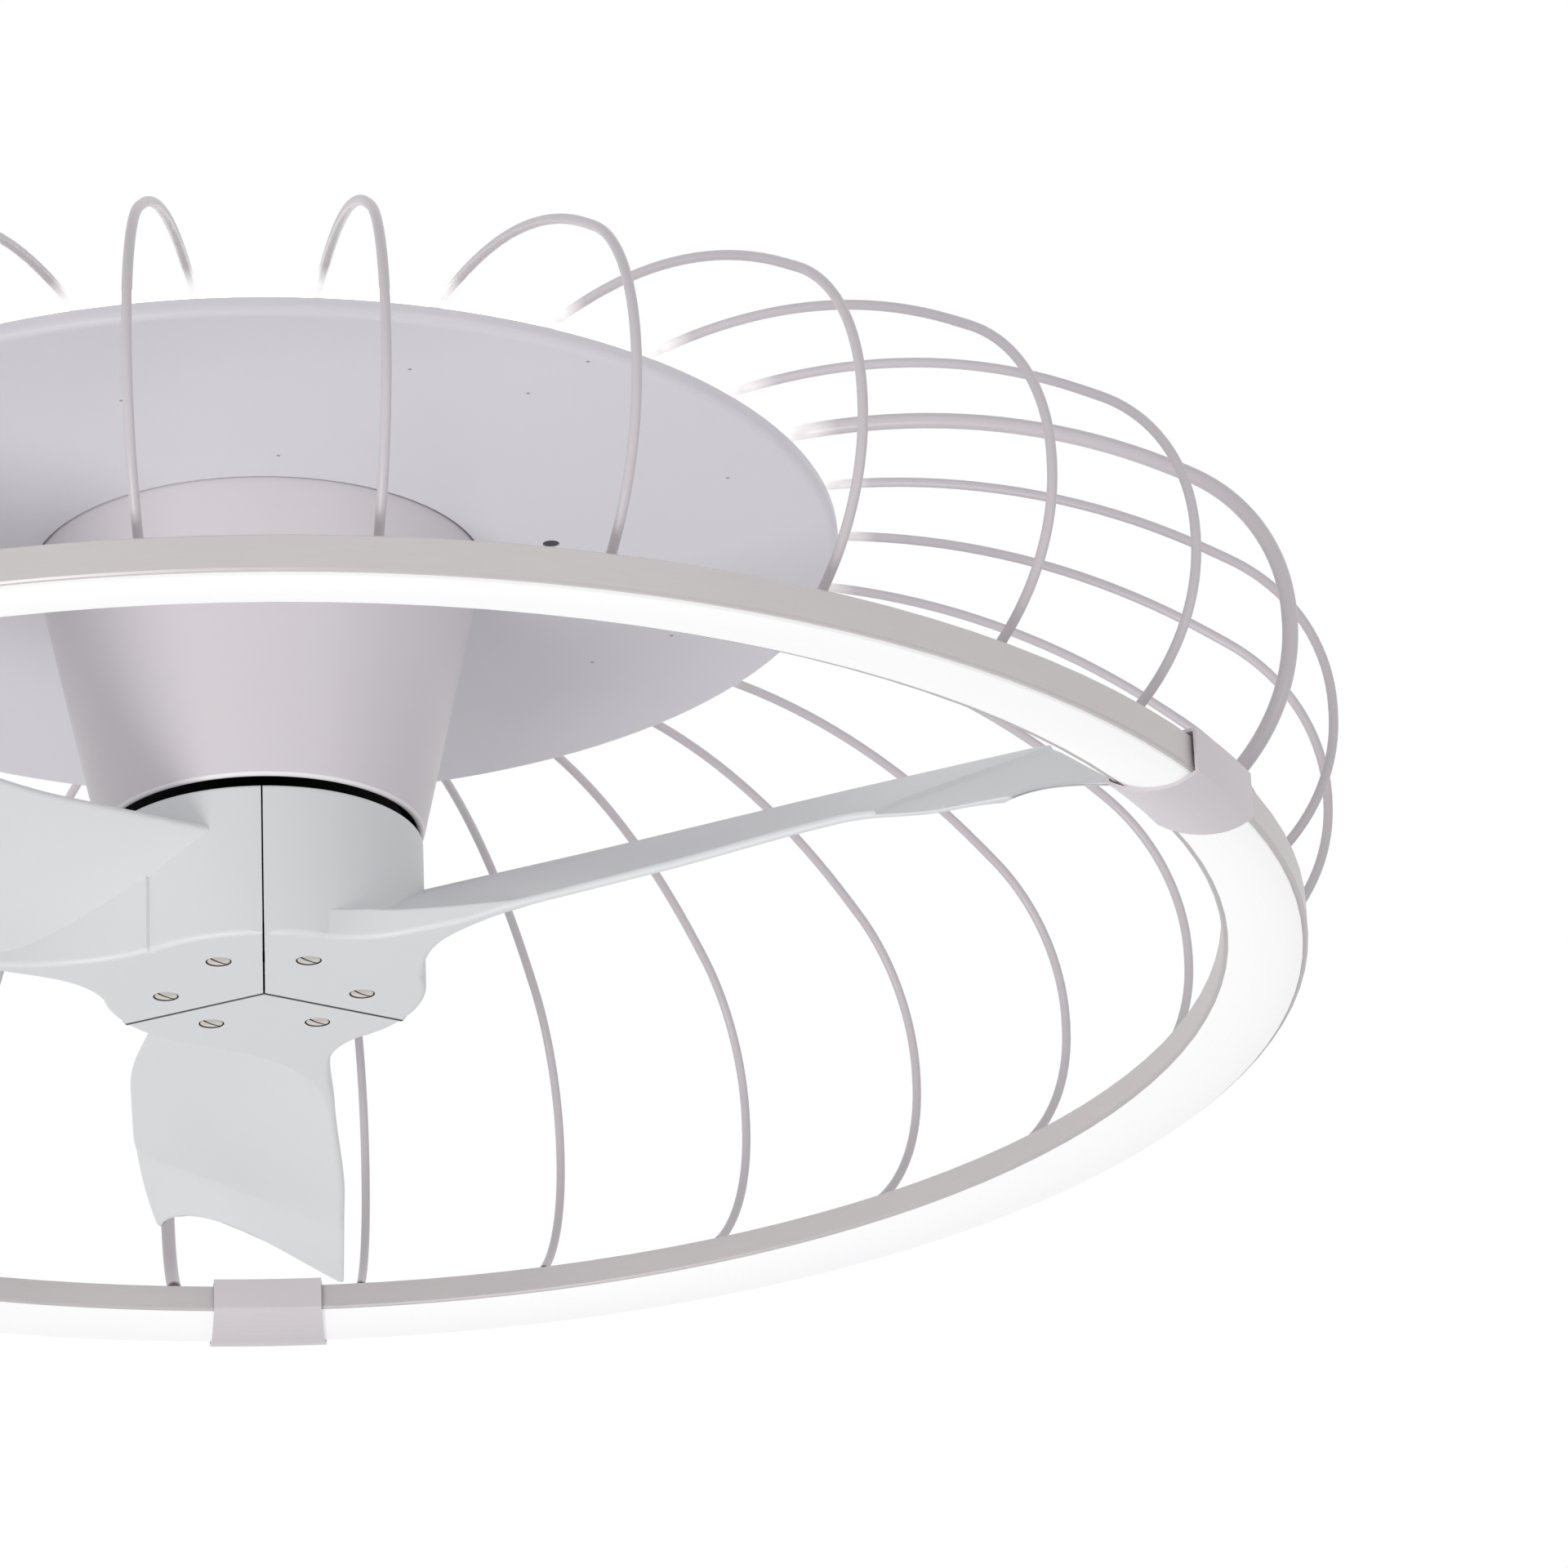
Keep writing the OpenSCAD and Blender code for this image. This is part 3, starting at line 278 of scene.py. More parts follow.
def brushed_ring(name, colour, warm):
    f = Finish(name)
    x, y, z = f.split(f.place())
    radius = from_axis(x, y)
    angle = y.math("ARCTAN2", x)
    grain = f.noise(0.45, 3.0, 0.6, f.join(radius, angle * GRAIN_STRETCH, z))
    cloud = f.noise(40.0, 2.0)
    tone = f.blend(grain * 0.6 + cloud * 0.4, colour, warm)
    f.set(Base_Color=tone, Roughness=f.between(grain, 0.34, 0.52), Metallic=0.35,
          Normal=f.bump(grain, 0.012, 0.6))
    return f.material


ring_paint = brushed_ring("ring_paint", (0.57, 0.54, 0.535), (0.66, 0.62, 0.61))
print("the ring is brushed with", len(ring_paint.node_tree.nodes), "nodes")

# %% [markdown]
# ## Moulded plastic
# The blades are moulded in a pale, slightly cool plastic with a fine spark-eroded texture. Broad,
# weak clouds in the tone keep large faces from looking like cut paper. Where the three mouldings
# meet, a dark line of painted shade stands for the shadow in the gap between them. Each line has
# its turn in degrees, from the near side, and half its width in millimetres. The screw seats are
# darkened with the same painted shade. Other measures are in metres.

# %% Blade plastic and small plastics
SEAMS = ((0.0, 0.28), (120.0, 0.62), (240.0, 0.62))
SEAM_TOP_Z = -0.1565
SEAT_LOW_Z, SEAT_TOP_Z = -0.15972, -0.158
SEAT_NEAR, SEAT_FAR = 0.024, 0.0325
SEAM_SHADE = (0.10, 0.10, 0.105)


def seam_and_seat_shade(f, lines):
    """Painted shade: 1 close to the seams on the hub's flat lower face and in the screw seats, and
    0 elsewhere.
    """
    x, y, z = f.split(f.place())
    seats = z.math("GREATER_THAN", SEAT_LOW_Z) * z.math("LESS_THAN", SEAT_TOP_Z)
    radius = from_axis(x, y)
    seats = seats * radius.math("LESS_THAN", SEAT_FAR) * radius.math("GREATER_THAN", SEAT_NEAR)
    total = 0.0
    for turn, half_width in lines:
        out_x, out_y = math.sin(math.radians(turn)), -math.cos(math.radians(turn))
        away = (x * out_y - y * out_x).math("ABSOLUTE")
        near = away.math("LESS_THAN", half_width / 1000.0)
        total = near * (x * out_x + y * out_y).math("GREATER_THAN", 0.0) + total
    return (total * z.math("LESS_THAN", SEAM_TOP_Z) + seats).math("MINIMUM", 1.0)


def moulded(name, colour, shade, gloss=(0.38, 0.5), grain_mm=0.5, grain_depth=0.01, lines=None):
    f = Finish(name)
    cloud = f.noise(90.0, 3.0)
    grain = f.noise(grain_mm, 2.0)
    tone = f.blend(cloud, colour, shade)
    if lines:
        # Painted shade along the seams and in the screw seats.
        tone = f.blend(seam_and_seat_shade(f, lines), tone, SEAM_SHADE)
    f.set(Base_Color=tone, Roughness=f.between(grain, *gloss),
          Normal=f.bump(grain, grain_depth, 0.4))
    return f.material


blade_plastic = moulded("blade_plastic", (0.72, 0.735, 0.735), (0.75, 0.76, 0.76), lines=SEAMS)
white_plastic = moulded("white_plastic", (0.70, 0.70, 0.68), (0.76, 0.76, 0.75))
dark_plastic = moulded("dark_plastic", (0.012, 0.012, 0.014), (0.03, 0.03, 0.034))
black_rubber = moulded("black_rubber", (0.010, 0.010, 0.010), (0.02, 0.02, 0.02), gloss=(0.6, 0.8))
print("dark lines along", len(SEAMS), "seams of the hub")

# %% [markdown]
# ## Lit plastic
# A diffuser scatters the light of the strip behind it. From outside it is a white surface that
# gives light of its own, slightly uneven. The ring's face needs little of it to show white in a
# bright room without washing out what is next to it. The band above the disc shines more strongly,
# because the picture shows a strong glow round it.

# %% Diffusers and light strips
def dimmed(colour, share):
    return tuple(share * c for c in colour)


def lit(name, body, glow, strength, grain_mm=1.2):
    f = Finish(name)
    grain = f.noise(grain_mm, 2.0)
    f.set(Base_Color=f.blend(grain, body, dimmed(body, 0.97)), Roughness=0.5,
          Emission_Color=f.blend(f.noise(30.0), glow, dimmed(glow, 0.985)),
          Emission_Strength=strength, Normal=f.bump(grain, 0.008, 0.3))
    return f.material


ring_light = lit("ring_light", (0.60, 0.60, 0.60), (1.0, 1.0, 1.0), 0.42)
halo_light = lit("halo_light", (0.86, 0.85, 0.80), (1.0, 0.97, 0.88), 2.0)
strip_light = lit("strip_light", (0.80, 0.77, 0.66), (1.0, 0.95, 0.80), 0.6)
print("lit pieces:", ring_light.name, halo_light.name, strip_light.name)

# %% [markdown]
# ## Bare metal
# Brackets, screws, shaft and bearings are bare or plated steel. Turned and stamped steel shows
# fine scratches in many directions, so the noise that drives its gloss is sharp and small. Painted
# shade darkens each blade screw above the floor of its slot, which takes in the slot and the
# head's skirt in its seat.

# %% Steel, aluminium and copper
SLOT_SHADE = (0.04, 0.04, 0.04)
SLOT_FLOOR_Z = -0.1593


def bare_metal(name, colour, dull, gloss=(0.22, 0.42), scratch_mm=0.35, shade_above=None):
    """Above the given height, in metres, painted shade darkens the metal."""
    f = Finish(name)
    scratch = f.noise(scratch_mm, 5.0, 0.7)
    tone = f.blend(f.noise(8.0, 3.0), colour, dull)
    if shade_above:
        z = f.split(f.place())[2]
        # Painted shade in the slots and seats of the blade screws.
        tone = f.blend(z.math("GREATER_THAN", shade_above), tone, SLOT_SHADE)
    f.set(Base_Color=tone, Metallic=1.0, Roughness=f.between(scratch, *gloss),
          Normal=f.bump(scratch, 0.006, 0.5))
    return f.material


steel = bare_metal("steel", (0.56, 0.56, 0.57), (0.46, 0.46, 0.48))
foot_steel = bare_metal("foot_steel", (0.20, 0.18, 0.19), (0.14, 0.13, 0.14), gloss=(0.4, 0.6))
aluminium = bare_metal("aluminium", (0.68, 0.68, 0.69), (0.58, 0.58, 0.6), gloss=(0.35, 0.55))
copper = bare_metal("copper", (0.60, 0.30, 0.14), (0.45, 0.22, 0.10))
# Near-black metal as painted shade, for the hidden parts seen through the gap above the hub.
shade_black_metal = bare_metal("shade_black_metal", (0.045, 0.045, 0.048), (0.03, 0.03, 0.033), gloss=(0.5, 0.7))
screw_plating = bare_metal("screw_plating", (0.92, 0.86, 0.79), (0.84, 0.78, 0.71),
                           gloss=(0.3, 0.5), shade_above=SLOT_FLOOR_Z)
print(len(bpy.data.materials), "materials so far")

# %% [markdown]
# ## A finish for every piece
# Each piece names the slot it is finished with in the fan's own record. One table turns those
# slots into the materials above. The turning parts and the mount inside the housing get a
# near-black metal instead, as painted shade, so that the gap above the hub looks dark.

# %% Put the finishes on
FINISHES = {
    "steel": steel, "pan_paint": pan_paint, "black_rubber": black_rubber,
    "white_plastic": white_plastic, "dark_plastic": dark_plastic, "led_strip": strip_light,
    "halo_diffuser": halo_light, "disc_paint": disc_paint, "housing_paint": housing_paint,
    "copper": copper, "ring_paint": ring_paint, "ring_diffuser": ring_light,
    "clip_paint": clip_paint, "foot_steel": foot_steel, "aluminium": aluminium,
    "blade_plastic": blade_plastic, "screw_plating": screw_plating, "wire_paint": wire_paint,
}
slot_of = {part["node"]: part["material_slot"] for part in frame["record"]["subparts"]}
BLACKENED_AS_SHADE = {"hub_carrier", "rotor_can", "rotor_magnets", "motor_mount"}
for node, piece in frame["nodes"].items():
    piece.data.materials.clear()
    piece.data.materials.append(shade_black_metal if node in BLACKENED_AS_SHADE else FINISHES[slot_of[node]])
print(len(slot_of), "pieces finished with", len(FINISHES), "finishes")

# %% [markdown]
# ## Blades
# Each blade is moulded in one piece with a third of the hub: a flat floor with two sunk screw
# seats, the hub's wall, a front wall that runs out along the blade, a hollow flare behind it, and
# the arched sheet itself. The drawing gives these forms in coarser steps, with a lower front edge
# and without the small step near the outer end. A moulded sheet bends without a kink, so the blade
# is made again here with many more steps. A subdivision surface would shrink the outline, so the
# faces are placed one row at a time instead.
#
# All measures are in millimetres. A blade is drawn with r outward along it, t across it from front
# to rear, and heights from the ring's lower edge. A span is a stretch of r, by its start and its
# length, over which a form passes smoothly into the next.

# %% Measures of hub and blade
MM = 0.001
LIP_Z = -163.0
HUB_R, HUB_LOW, HUB_TOP = 46.6, 3.2, 48.9
HUB_WALL, HUB_FLOOR, HUB_EDGE, SEAM = 2.4, 3.0, 1.6, 0.5
SCREW_AT, SCREW_TURN, RECESS_R, RECESS_DEEP = 28.2, 33.0, 3.65, 0.9
FRONT_T, FRONT_SPREAD, REAR_T, REAR_SPREAD = 19.2, 3.7, 29.5, 11.1
NOSE_LIFT, NOSE_RISE, NOSE_FLIGHT = 2.4, 2.3, 1.7
REAR_H, REAR_CLIMB = 36.3, 6.1
TWIST_SPAN, RISE_SPAN, FLIGHT_SPAN = (80.0, 100.0), (55.0, 40.0), (140.0, 60.0)
CAMBER, CAMBER_PEAK, SHEET_T = 5.5, 27.0 / 4.0, 2.6
END_R, END_W, END_HOLLOW, END_SLANT, CORNER_IN = 255.5, 34.0, 14.0, 7.5, 7.0
BEND_R, BEND_SKEW, STEP_W, STEP_DEEP = 207.0, 26.0, 0.7, 2.2
FLARE_R, FLARE_END_R, FLARE_START_T, FLOOR_LIP, FLOOR_END_R = 51.3, 92.3, 13.0, 2.5, 112.0
WEB_H, WEB_R, WEB_BEND_R, WEB_END_R = 9.6, 29.0, 58.0, 92.0
BLADE_TURNS = {"blade_1": 60.0, "blade_2": 180.0, "blade_3": 300.0}


def ease(u):
    c = min(1.0, max(0.0, u))
    return c * c * (3.0 - 2.0 * c)


def along(r, span):
    """0 before the span, 1 beyond it, and smooth between."""
    start, length = span
    return ease((r - start) / length)


def untwist(r):
    """0 near the hub, where the blade is steep and arched, and 1 where it has flattened out."""
    return along(r, TWIST_SPAN)


def front_edge(r):
    return -FRONT_T - FRONT_SPREAD * untwist(r)


def rear_edge(r):
    return REAR_T + REAR_SPREAD * untwist(r)


def nose_height(r):
    return NOSE_LIFT + NOSE_RISE * along(r, RISE_SPAN) + NOSE_FLIGHT * along(r, FLIGHT_SPAN)


print("the blade is", round(rear_edge(60) - front_edge(60), 1), "mm wide at the hub and",
      round(rear_edge(200) - front_edge(200), 1), "mm further out")

# %% [markdown]
# The sheet is a surface over two numbers. One runs out along the blade and one across it, from the
# front edge to the rear. Height and place across follow from them. Near its end the sheet has a
# small step on its upper side, which runs slantwise from the front edge to the rear one. Beyond the
# step the sheet is thinner and turns down, more so towards its rear corner. Close to the hub the
# sheet rises out of the ledge on the front wall, and the two melt into each other.

# %% The sheet as a surface
ROOT_SPAN = (84.0, 16.0)
ROOT_TUCK, ROOT_SOFT, LEDGE_SUNK = 1.6, 1.5, 0.05
BEND_SOFT, SOFT_DROP, NOSE_DROP, DROP_SPAN = 2.0, 0.9, 1.9, (-12.0, 32.0)
DROOP_FRONT, DROOP_ACROSS, DROOP_REAR = 0.035, 0.66, 0.10
LEAN_STEP, LEDGE_STEPS = 0.004, 100


def near_root(r):
    return 1.0 - along(r, ROOT_SPAN)


def front_top(r):
    """Top of the root's front wall, which runs out into the sheet's own front edge."""
    low = nose_height(WEB_END_R) + SHEET_T / 2
    run_out = min(1.0, max(0.0, (r - HUB_R) / (WEB_END_R - HUB_R)))
    return HUB_LOW + WEB_H - (HUB_LOW + WEB_H - low) * run_out


def place_across(r, across):
    corner = CORNER_IN * max(0.0, (r - END_R + END_W) / END_W) ** 2
    tuck = ROOT_TUCK * near_root(r) * (1.0 - across) ** 4
    return front_edge(r) + across * (rear_edge(r) - front_edge(r)) - corner * across ** 4 + tuck


def sheet_height(r, across):
    rise = REAR_H + REAR_CLIMB * untwist(r) - nose_height(r)
    arch = CAMBER * (1.0 - untwist(r)) * CAMBER_PEAK * across * (1.0 - across) ** 2
    plain = nose_height(r) + across * rise + arch
    if r >= sum(ROOT_SPAN):
        return plain
    ledge = front_top(r) - SHEET_T / 2 - LEDGE_SUNK
    soft = ROOT_SOFT * near_root(r)
    return (plain + ledge + math.sqrt((plain - ledge) ** 2 + soft * soft)) / 2


def sheet_lean(r, across):
    front, rear = across - LEAN_STEP, across + LEAN_STEP
    rise = sheet_height(r, rear) - sheet_height(r, front)
    return math.atan(rise / (place_across(r, rear) - place_across(r, front)))


def sheet_start(across):
    return math.sqrt((HUB_R - HUB_WALL / 2) ** 2 - place_across(HUB_R, across) ** 2)


def sheet_end(across):
    return END_R - END_SLANT * (1.0 - across) - 4.0 * END_HOLLOW * across * (1.0 - across)


def bend_at(across):
    return BEND_R + BEND_SKEW * across


def end_turn(r, across, crisp):
    """How far the outer end hangs down. Only the upper side (crisp = 1) has the full step."""
    past = r - bend_at(across) - STEP_W
    slope = DROOP_FRONT + DROOP_ACROSS * across + DROOP_REAR * across * across
    bend = slope * (past + math.sqrt(past * past + BEND_SOFT ** 2)) / 2
    bend += (SOFT_DROP + NOSE_DROP * (1.0 - across) ** 4) * along(past, DROP_SPAN)
    return bend + crisp * (STEP_DEEP - SOFT_DROP) * min(1.0, max(0.0, past / STEP_W + 1.0))


def height_over(r, t):
    """Height of the sheet's middle over a place on the root."""
    across = min(1.0, max(0.0, (t - front_edge(r)) / (rear_edge(r) - front_edge(r))))
    return sheet_height(r, across)


def ledge_end(r):
    """How far back the ledge on the front wall reaches before the sheet rises through it."""
    for k in range(1, LEDGE_STEPS):
        if sheet_height(r, k / LEDGE_STEPS) >= front_top(r):
            return place_across(r, k / LEDGE_STEPS)
    return 0.0


print("front wall", WEB_H, "mm high, sheet", round(height_over(60, 20), 1), "mm up over the flare")

# %% [markdown]
# The edges of the sheet are fully round. Each row goes once round the sheet: over its upper face,
# round the rear edge, back under its lower face and round the front edge. At the outer end the
# rows get thinner along a quarter circle, so that the end edge is round too. Stations number the
# rows: 0 to 1 lead from the hub to the step, 1 to 2 over the step and 2 to 3 on to the end. They
# stand close together at the step, which is short.

# %% The sheet with round edges
ROW_STEPS = 36
STATIONS = [k / 76 for k in range(76)] + [0.997, 1.0, 1.15, 1.5, 1.85, 2.0, 2.012]
STATIONS += [2.0 + k / 12 for k in range(1, 12)]
END_TURNS = (0, 18, 36, 54, 72, 84)


def row_at(station, across, pull):
    """Distance from the axis. pull is how far a rounded end edge draws back."""
    step = bend_at(across)
    marks = (sheet_start(across), step, step + STEP_W, sheet_end(across) - pull)
    k = min(2, int(station))
    return marks[k] + (station - k) * (marks[k + 1] - marks[k])


def sheet_row(station, thin):
    """One loop round the sheet. thin is 1 in the body and falls to 0 at the rounded end."""
    half = SHEET_T / 2 * thin
    pull = SHEET_T / 2 * (1.0 - math.sqrt(max(0.0, 1.0 - thin * thin)))

    def point(across, out, side):
        r = row_at(station, across, pull)
        lean = sheet_lean(r, across)
        return (r, place_across(r, across) + out * math.cos(lean) - side * math.sin(lean),
                sheet_height(r, across) - end_turn(r, across, 0.5 + side / SHEET_T)
                + out * math.sin(lean) + side * math.cos(lean))

    turns = [math.radians(t) for t in range(15, 180, 15)]
    row = [point(k / ROW_STEPS, 0.0, half) for k in range(ROW_STEPS + 1)]
    row += [point(1.0, half * math.sin(t), half * math.cos(t)) for t in turns]
    row += [point(1.0 - k / ROW_STEPS, 0.0, -half) for k in range(ROW_STEPS + 1)]
    row += [point(0.0, -half * math.sin(t), -half * math.cos(t)) for t in turns]
    return row


def add_rows(mesh, rows, closed):
    """Joins rows of points into a skin of quads."""
    grid = [[mesh.verts.new([c * MM for c in p]) for p in row] for row in rows]
    for one, two in zip(grid, grid[1:]):
        count = len(one)
        for k in range(count if closed else count - 1):
            n = (k + 1) % count
            mesh.faces.new((one[k], one[n], two[n], two[k]))
    return grid


def add_sheet(mesh):
    rows = [sheet_row(station, 1.0) for station in STATIONS]
    rows += [sheet_row(3.0, math.cos(math.radians(t))) for t in END_TURNS]
    grid = add_rows(mesh, rows, True)
    mesh.faces.new(grid[-1])
    mesh.faces.new(reversed(grid[0]))


print("one row of the sheet has", len(sheet_row(0.0, 1.0)), "points")

# %% [markdown]
# Seen from below, floor and hub make one face. Its outline runs from the fan's axis along a seam,
# round the hub and through the hollow corner in front. Behind, it comes back along the flare,
# round the hub again and home along the other seam. Between the two the root runs out along the
# blade, in rows of its own. Each point of the outline has its place, the radius of its lower edge
# and the kind of wall that stands on the side from it to the next point.

# %% Outline of the floor
FLARE_AT = (FLARE_END_R, front_edge(FLARE_END_R) + FLOOR_LIP + FLARE_R)
WEB_AT = (WEB_BEND_R, front_edge(WEB_BEND_R) - WEB_R)
SEAM_TURN = 60.0 - math.degrees(math.asin(SEAM / 2 / HUB_R))
FLOOR_TIP = (SEAM / math.sqrt(3.0), 0.0)
SEAM_EDGE = 0.3
SWELL_SPAN, FLOOR_SPAN = (66.0, 26.0), (WEB_BEND_R, 36.0)
BACK_SLANT, SLANT_RATE = 0.15, 4


def arc_points(x, y, r, start, end, count):
    turns = [math.radians(start + (end - start) * k / count) for k in range(count + 1)]
    return [(x + r * math.cos(t), y + r * math.sin(t)) for t in turns]


def front_line(r):
    """Front wall of the root. It swells out to the sheet's round edge."""
    return front_edge(r) - SHEET_T / 2 * along(r, SWELL_SPAN)


def back_line(r):
    """Rear side of the floor and the direction from it to the inside of the floor."""
    if r <= FLARE_END_R:
        drop = math.sqrt(FLARE_R ** 2 - (FLARE_END_R - r) ** 2)
        return FLARE_AT[1] - drop, Vector(((r - FLARE_END_R) / FLARE_R, -drop / FLARE_R))
    share = (r - FLARE_END_R) / (FLOOR_END_R - FLARE_END_R)
    start, end = front_edge(FLARE_END_R) + FLOOR_LIP, front_edge(FLOOR_END_R)
    step = Vector((-BACK_SLANT * ease(share * SLANT_RATE), -1.0)).normalized()
    return start + share * (end - start), step


def floor_height(r):
    return HUB_LOW + (nose_height(r) - SHEET_T / 2 - HUB_LOW) * along(r, FLOOR_SPAN)


def floor_outline():
    web_turn = math.degrees(math.atan2(WEB_AT[1], WEB_AT[0]))
    flare_turn = math.degrees(math.asin(FLARE_START_T / HUB_R))
    back = 180.0 + math.degrees(math.asin((FLARE_AT[1] - FLARE_START_T) / FLARE_R))
    bend = 180.0 + math.degrees(math.acos((FLARE_END_R - WEB_BEND_R) / FLARE_R))
    front_hub = arc_points(0, 0, HUB_R, -SEAM_TURN, web_turn, 14)
    web = arc_points(*WEB_AT, WEB_R, 180 + web_turn, 90, 24)[1:]
    flare = arc_points(*FLARE_AT, FLARE_R, bend, back, 16)
    rear_hub = arc_points(0, 0, HUB_R, flare_turn, SEAM_TURN, 26)
    corners = [(FLOOR_TIP, SEAM_EDGE, "seam"), (front_hub[0], SEAM_EDGE, "hub")]
    corners += [(p, HUB_EDGE, "hub") for p in front_hub[1:]]
    corners += [(p, HUB_EDGE, "web") for p in web[:-1]]
    corners += [(web[-1], HUB_EDGE, "open")]
    corners += [(p, HUB_EDGE, "flare") for p in flare]
    corners += [(p, HUB_EDGE, "hub") for p in rear_hub[:-1]]
    return corners + [(rear_hub[-1], SEAM_EDGE, "seam")]


OUTLINE = floor_outline()
print("the floor's outline has", len(OUTLINE), "points")

# %% [markdown]
# The rounded lower edge needs each outline point moved inward by a quarter circle. The direction is
# the mean of the two sides that meet there.

# %% Rounded edge of the floor
QUARTER = [(math.sin(math.radians(a)), math.cos(math.radians(a))) for a in range(0, 91, 15)]
TOP_EDGE, FRONT_EDGE_LESS = 1.25, 0.3
CORNER_LIMIT, LEAST_EDGE, FLOOR_LEFT = 0.6, 0.01, 0.05
FLOOR_STRIPS, ROOT_ROWS = 6, 40


def inward(k):
    """Step from outline point k to the inside of the outline, longer at a corner."""
    points = [Vector(p) for p, edge, kind in OUTLINE]
    if OUTLINE[k][2] == "open":
        return Vector((0.0, 1.0))
    if OUTLINE[k - 1][2] == "open":
        return back_line(WEB_BEND_R)[1]
    one = (points[k] - points[k - 1]).normalized()
    two = (points[(k + 1) % len(points)] - points[k]).normalized()
    normal_one, normal_two = Vector((-one.y, one.x)), Vector((-two.y, two.x))
    mean = (normal_one + normal_two).normalized()
    return mean / max(CORNER_LIMIT, mean.dot(normal_one))


def round_edge(x, y, step, edge, z, way=1):
    """Quarter circle from a face at height z to a wall at x, y. The wall goes up from the face
    (way = 1) or down from it (way = -1)."""
    return [(x + step.x * edge * (1 - s), y + step.y * edge * (1 - s), z + way * edge * (1 - c))
            for s, c in QUARTER]


def front_profile(x, y, step, low, edge):
    """Ledge, round top edge, front wall and round lower edge, from the ledge's rear end down."""
    top = round_edge(x, y, step, TOP_EDGE, front_top(x), -1)
    return [(x, ledge_end(x), front_top(x))] + top + round_edge(x, y, step, edge, low)[::-1]


def add_floor(mesh):
    steps = [inward(k) for k in range(len(OUTLINE))]
    edges = [round_edge(*p, step, edge, HUB_LOW) for (p, edge, kind), step in zip(OUTLINE, steps)]
    rows = [list(row) for row in zip(*edges)]
    gap = [kind for p, edge, kind in OUTLINE].index("open")
    around = list(range(gap + 1, len(OUTLINE))) + list(range(gap + 1))
    add_rows(mesh, [[row[k] for k in around] for row in rows], False)
    for k, (p, edge, kind) in enumerate(OUTLINE):
        q, next_edge, _ = OUTLINE[(k + 1) % len(OUTLINE)]
        low = [(*p, HUB_LOW + edge), (*q, HUB_LOW + next_edge)]
        if kind == "seam":
            add_rows(mesh, [low, [(*end, HUB_LOW + HUB_FLOOR) for end in (p, q)]], False)
        if kind == "flare":
            add_rows(mesh, [low, [(*end, height_over(*end)) for end in (p, q)]], False)
    web = [k for k, (p, edge, kind) in enumerate(OUTLINE) if kind in ("web", "open")]
    add_rows(mesh, [front_profile(*OUTLINE[k][0], steps[k], HUB_LOW, HUB_EDGE)
                    for k in [web[0] - 1] + web], False)
    return rows[0]


def root_row(r):
    """One section through the root where it runs out along the blade."""
    low, front = floor_height(r), front_line(r)
    back, step = back_line(r)
    edge = HUB_EDGE - FRONT_EDGE_LESS * along(r, SWELL_SPAN)
    back_edge = min(HUB_EDGE, max(LEAST_EDGE, back - front - edge - FLOOR_LEFT))
    row = front_profile(r, front, Vector((0.0, 1.0)), low, edge)
    inner = Vector((r, back)) + step * back_edge
    for k in range(1, FLOOR_STRIPS):
        share = k / FLOOR_STRIPS
        across = front + edge + share * (inner.y - front - edge)
        row.append((r + share * (inner.x - r), across, low))
    row += round_edge(r, back, step, back_edge, low)
    row.append((r, back, height_over(r, back)))
    return row


def add_root(mesh):
    length = FLOOR_END_R - WEB_BEND_R
    places = [WEB_BEND_R + length * k / ROOT_ROWS for k in range(ROOT_ROWS + 1)]
    add_rows(mesh, [root_row(r) for r in places], False)


print("one section of the root has", len(root_row(80.0)), "points")

# %% [markdown]
# The flat face has two round screw seats in it. `tessellate_polygon` fills an outline with holes.
# The flat face keeps a straight normal only if the round edge next to it doesn't pull on it, which
# a Weighted Normal modifier sees to later. The hub's wall is added here too.

# %% Floor with screw seats
ROUND_STEPS, WALL_STEPS = 48, 48
SEAT_EDGE = 0.15


def circle(x, y, r):
    return arc_points(x, y, r, 0, 360, ROUND_STEPS)[:-1]


def fill_flat(mesh, loops, up):
    flat = [[Vector(p) * MM for p in loop] for loop in loops]
    points = [mesh.verts.new(p) for loop in flat for p in loop]
    for face in tessellate_polygon(flat):
        corners = [points[i] for i in face]
        if ((corners[1].co - corners[0].co).cross(corners[2].co - corners[0].co).z > 0) != up:
            corners.reverse()
        mesh.faces.new(corners)


def add_seats(mesh, rim):
    holes = []
    for side in (-1, 1):
        turn = math.radians(side * SCREW_TURN)
        x, y = SCREW_AT * math.cos(turn), SCREW_AT * math.sin(turn)
        wall = circle(x, y, RECESS_R)
        mouth = [(*p, HUB_LOW) for p in circle(x, y, RECESS_R + SEAT_EDGE)]
        deep = [(*p, HUB_LOW + RECESS_DEEP) for p in wall]
        holes.append(mouth)
        add_rows(mesh, [mouth, [(*p, HUB_LOW + SEAT_EDGE) for p in wall], deep], True)
        fill_flat(mesh, [deep], False)
    fill_flat(mesh, [rim] + holes, False)


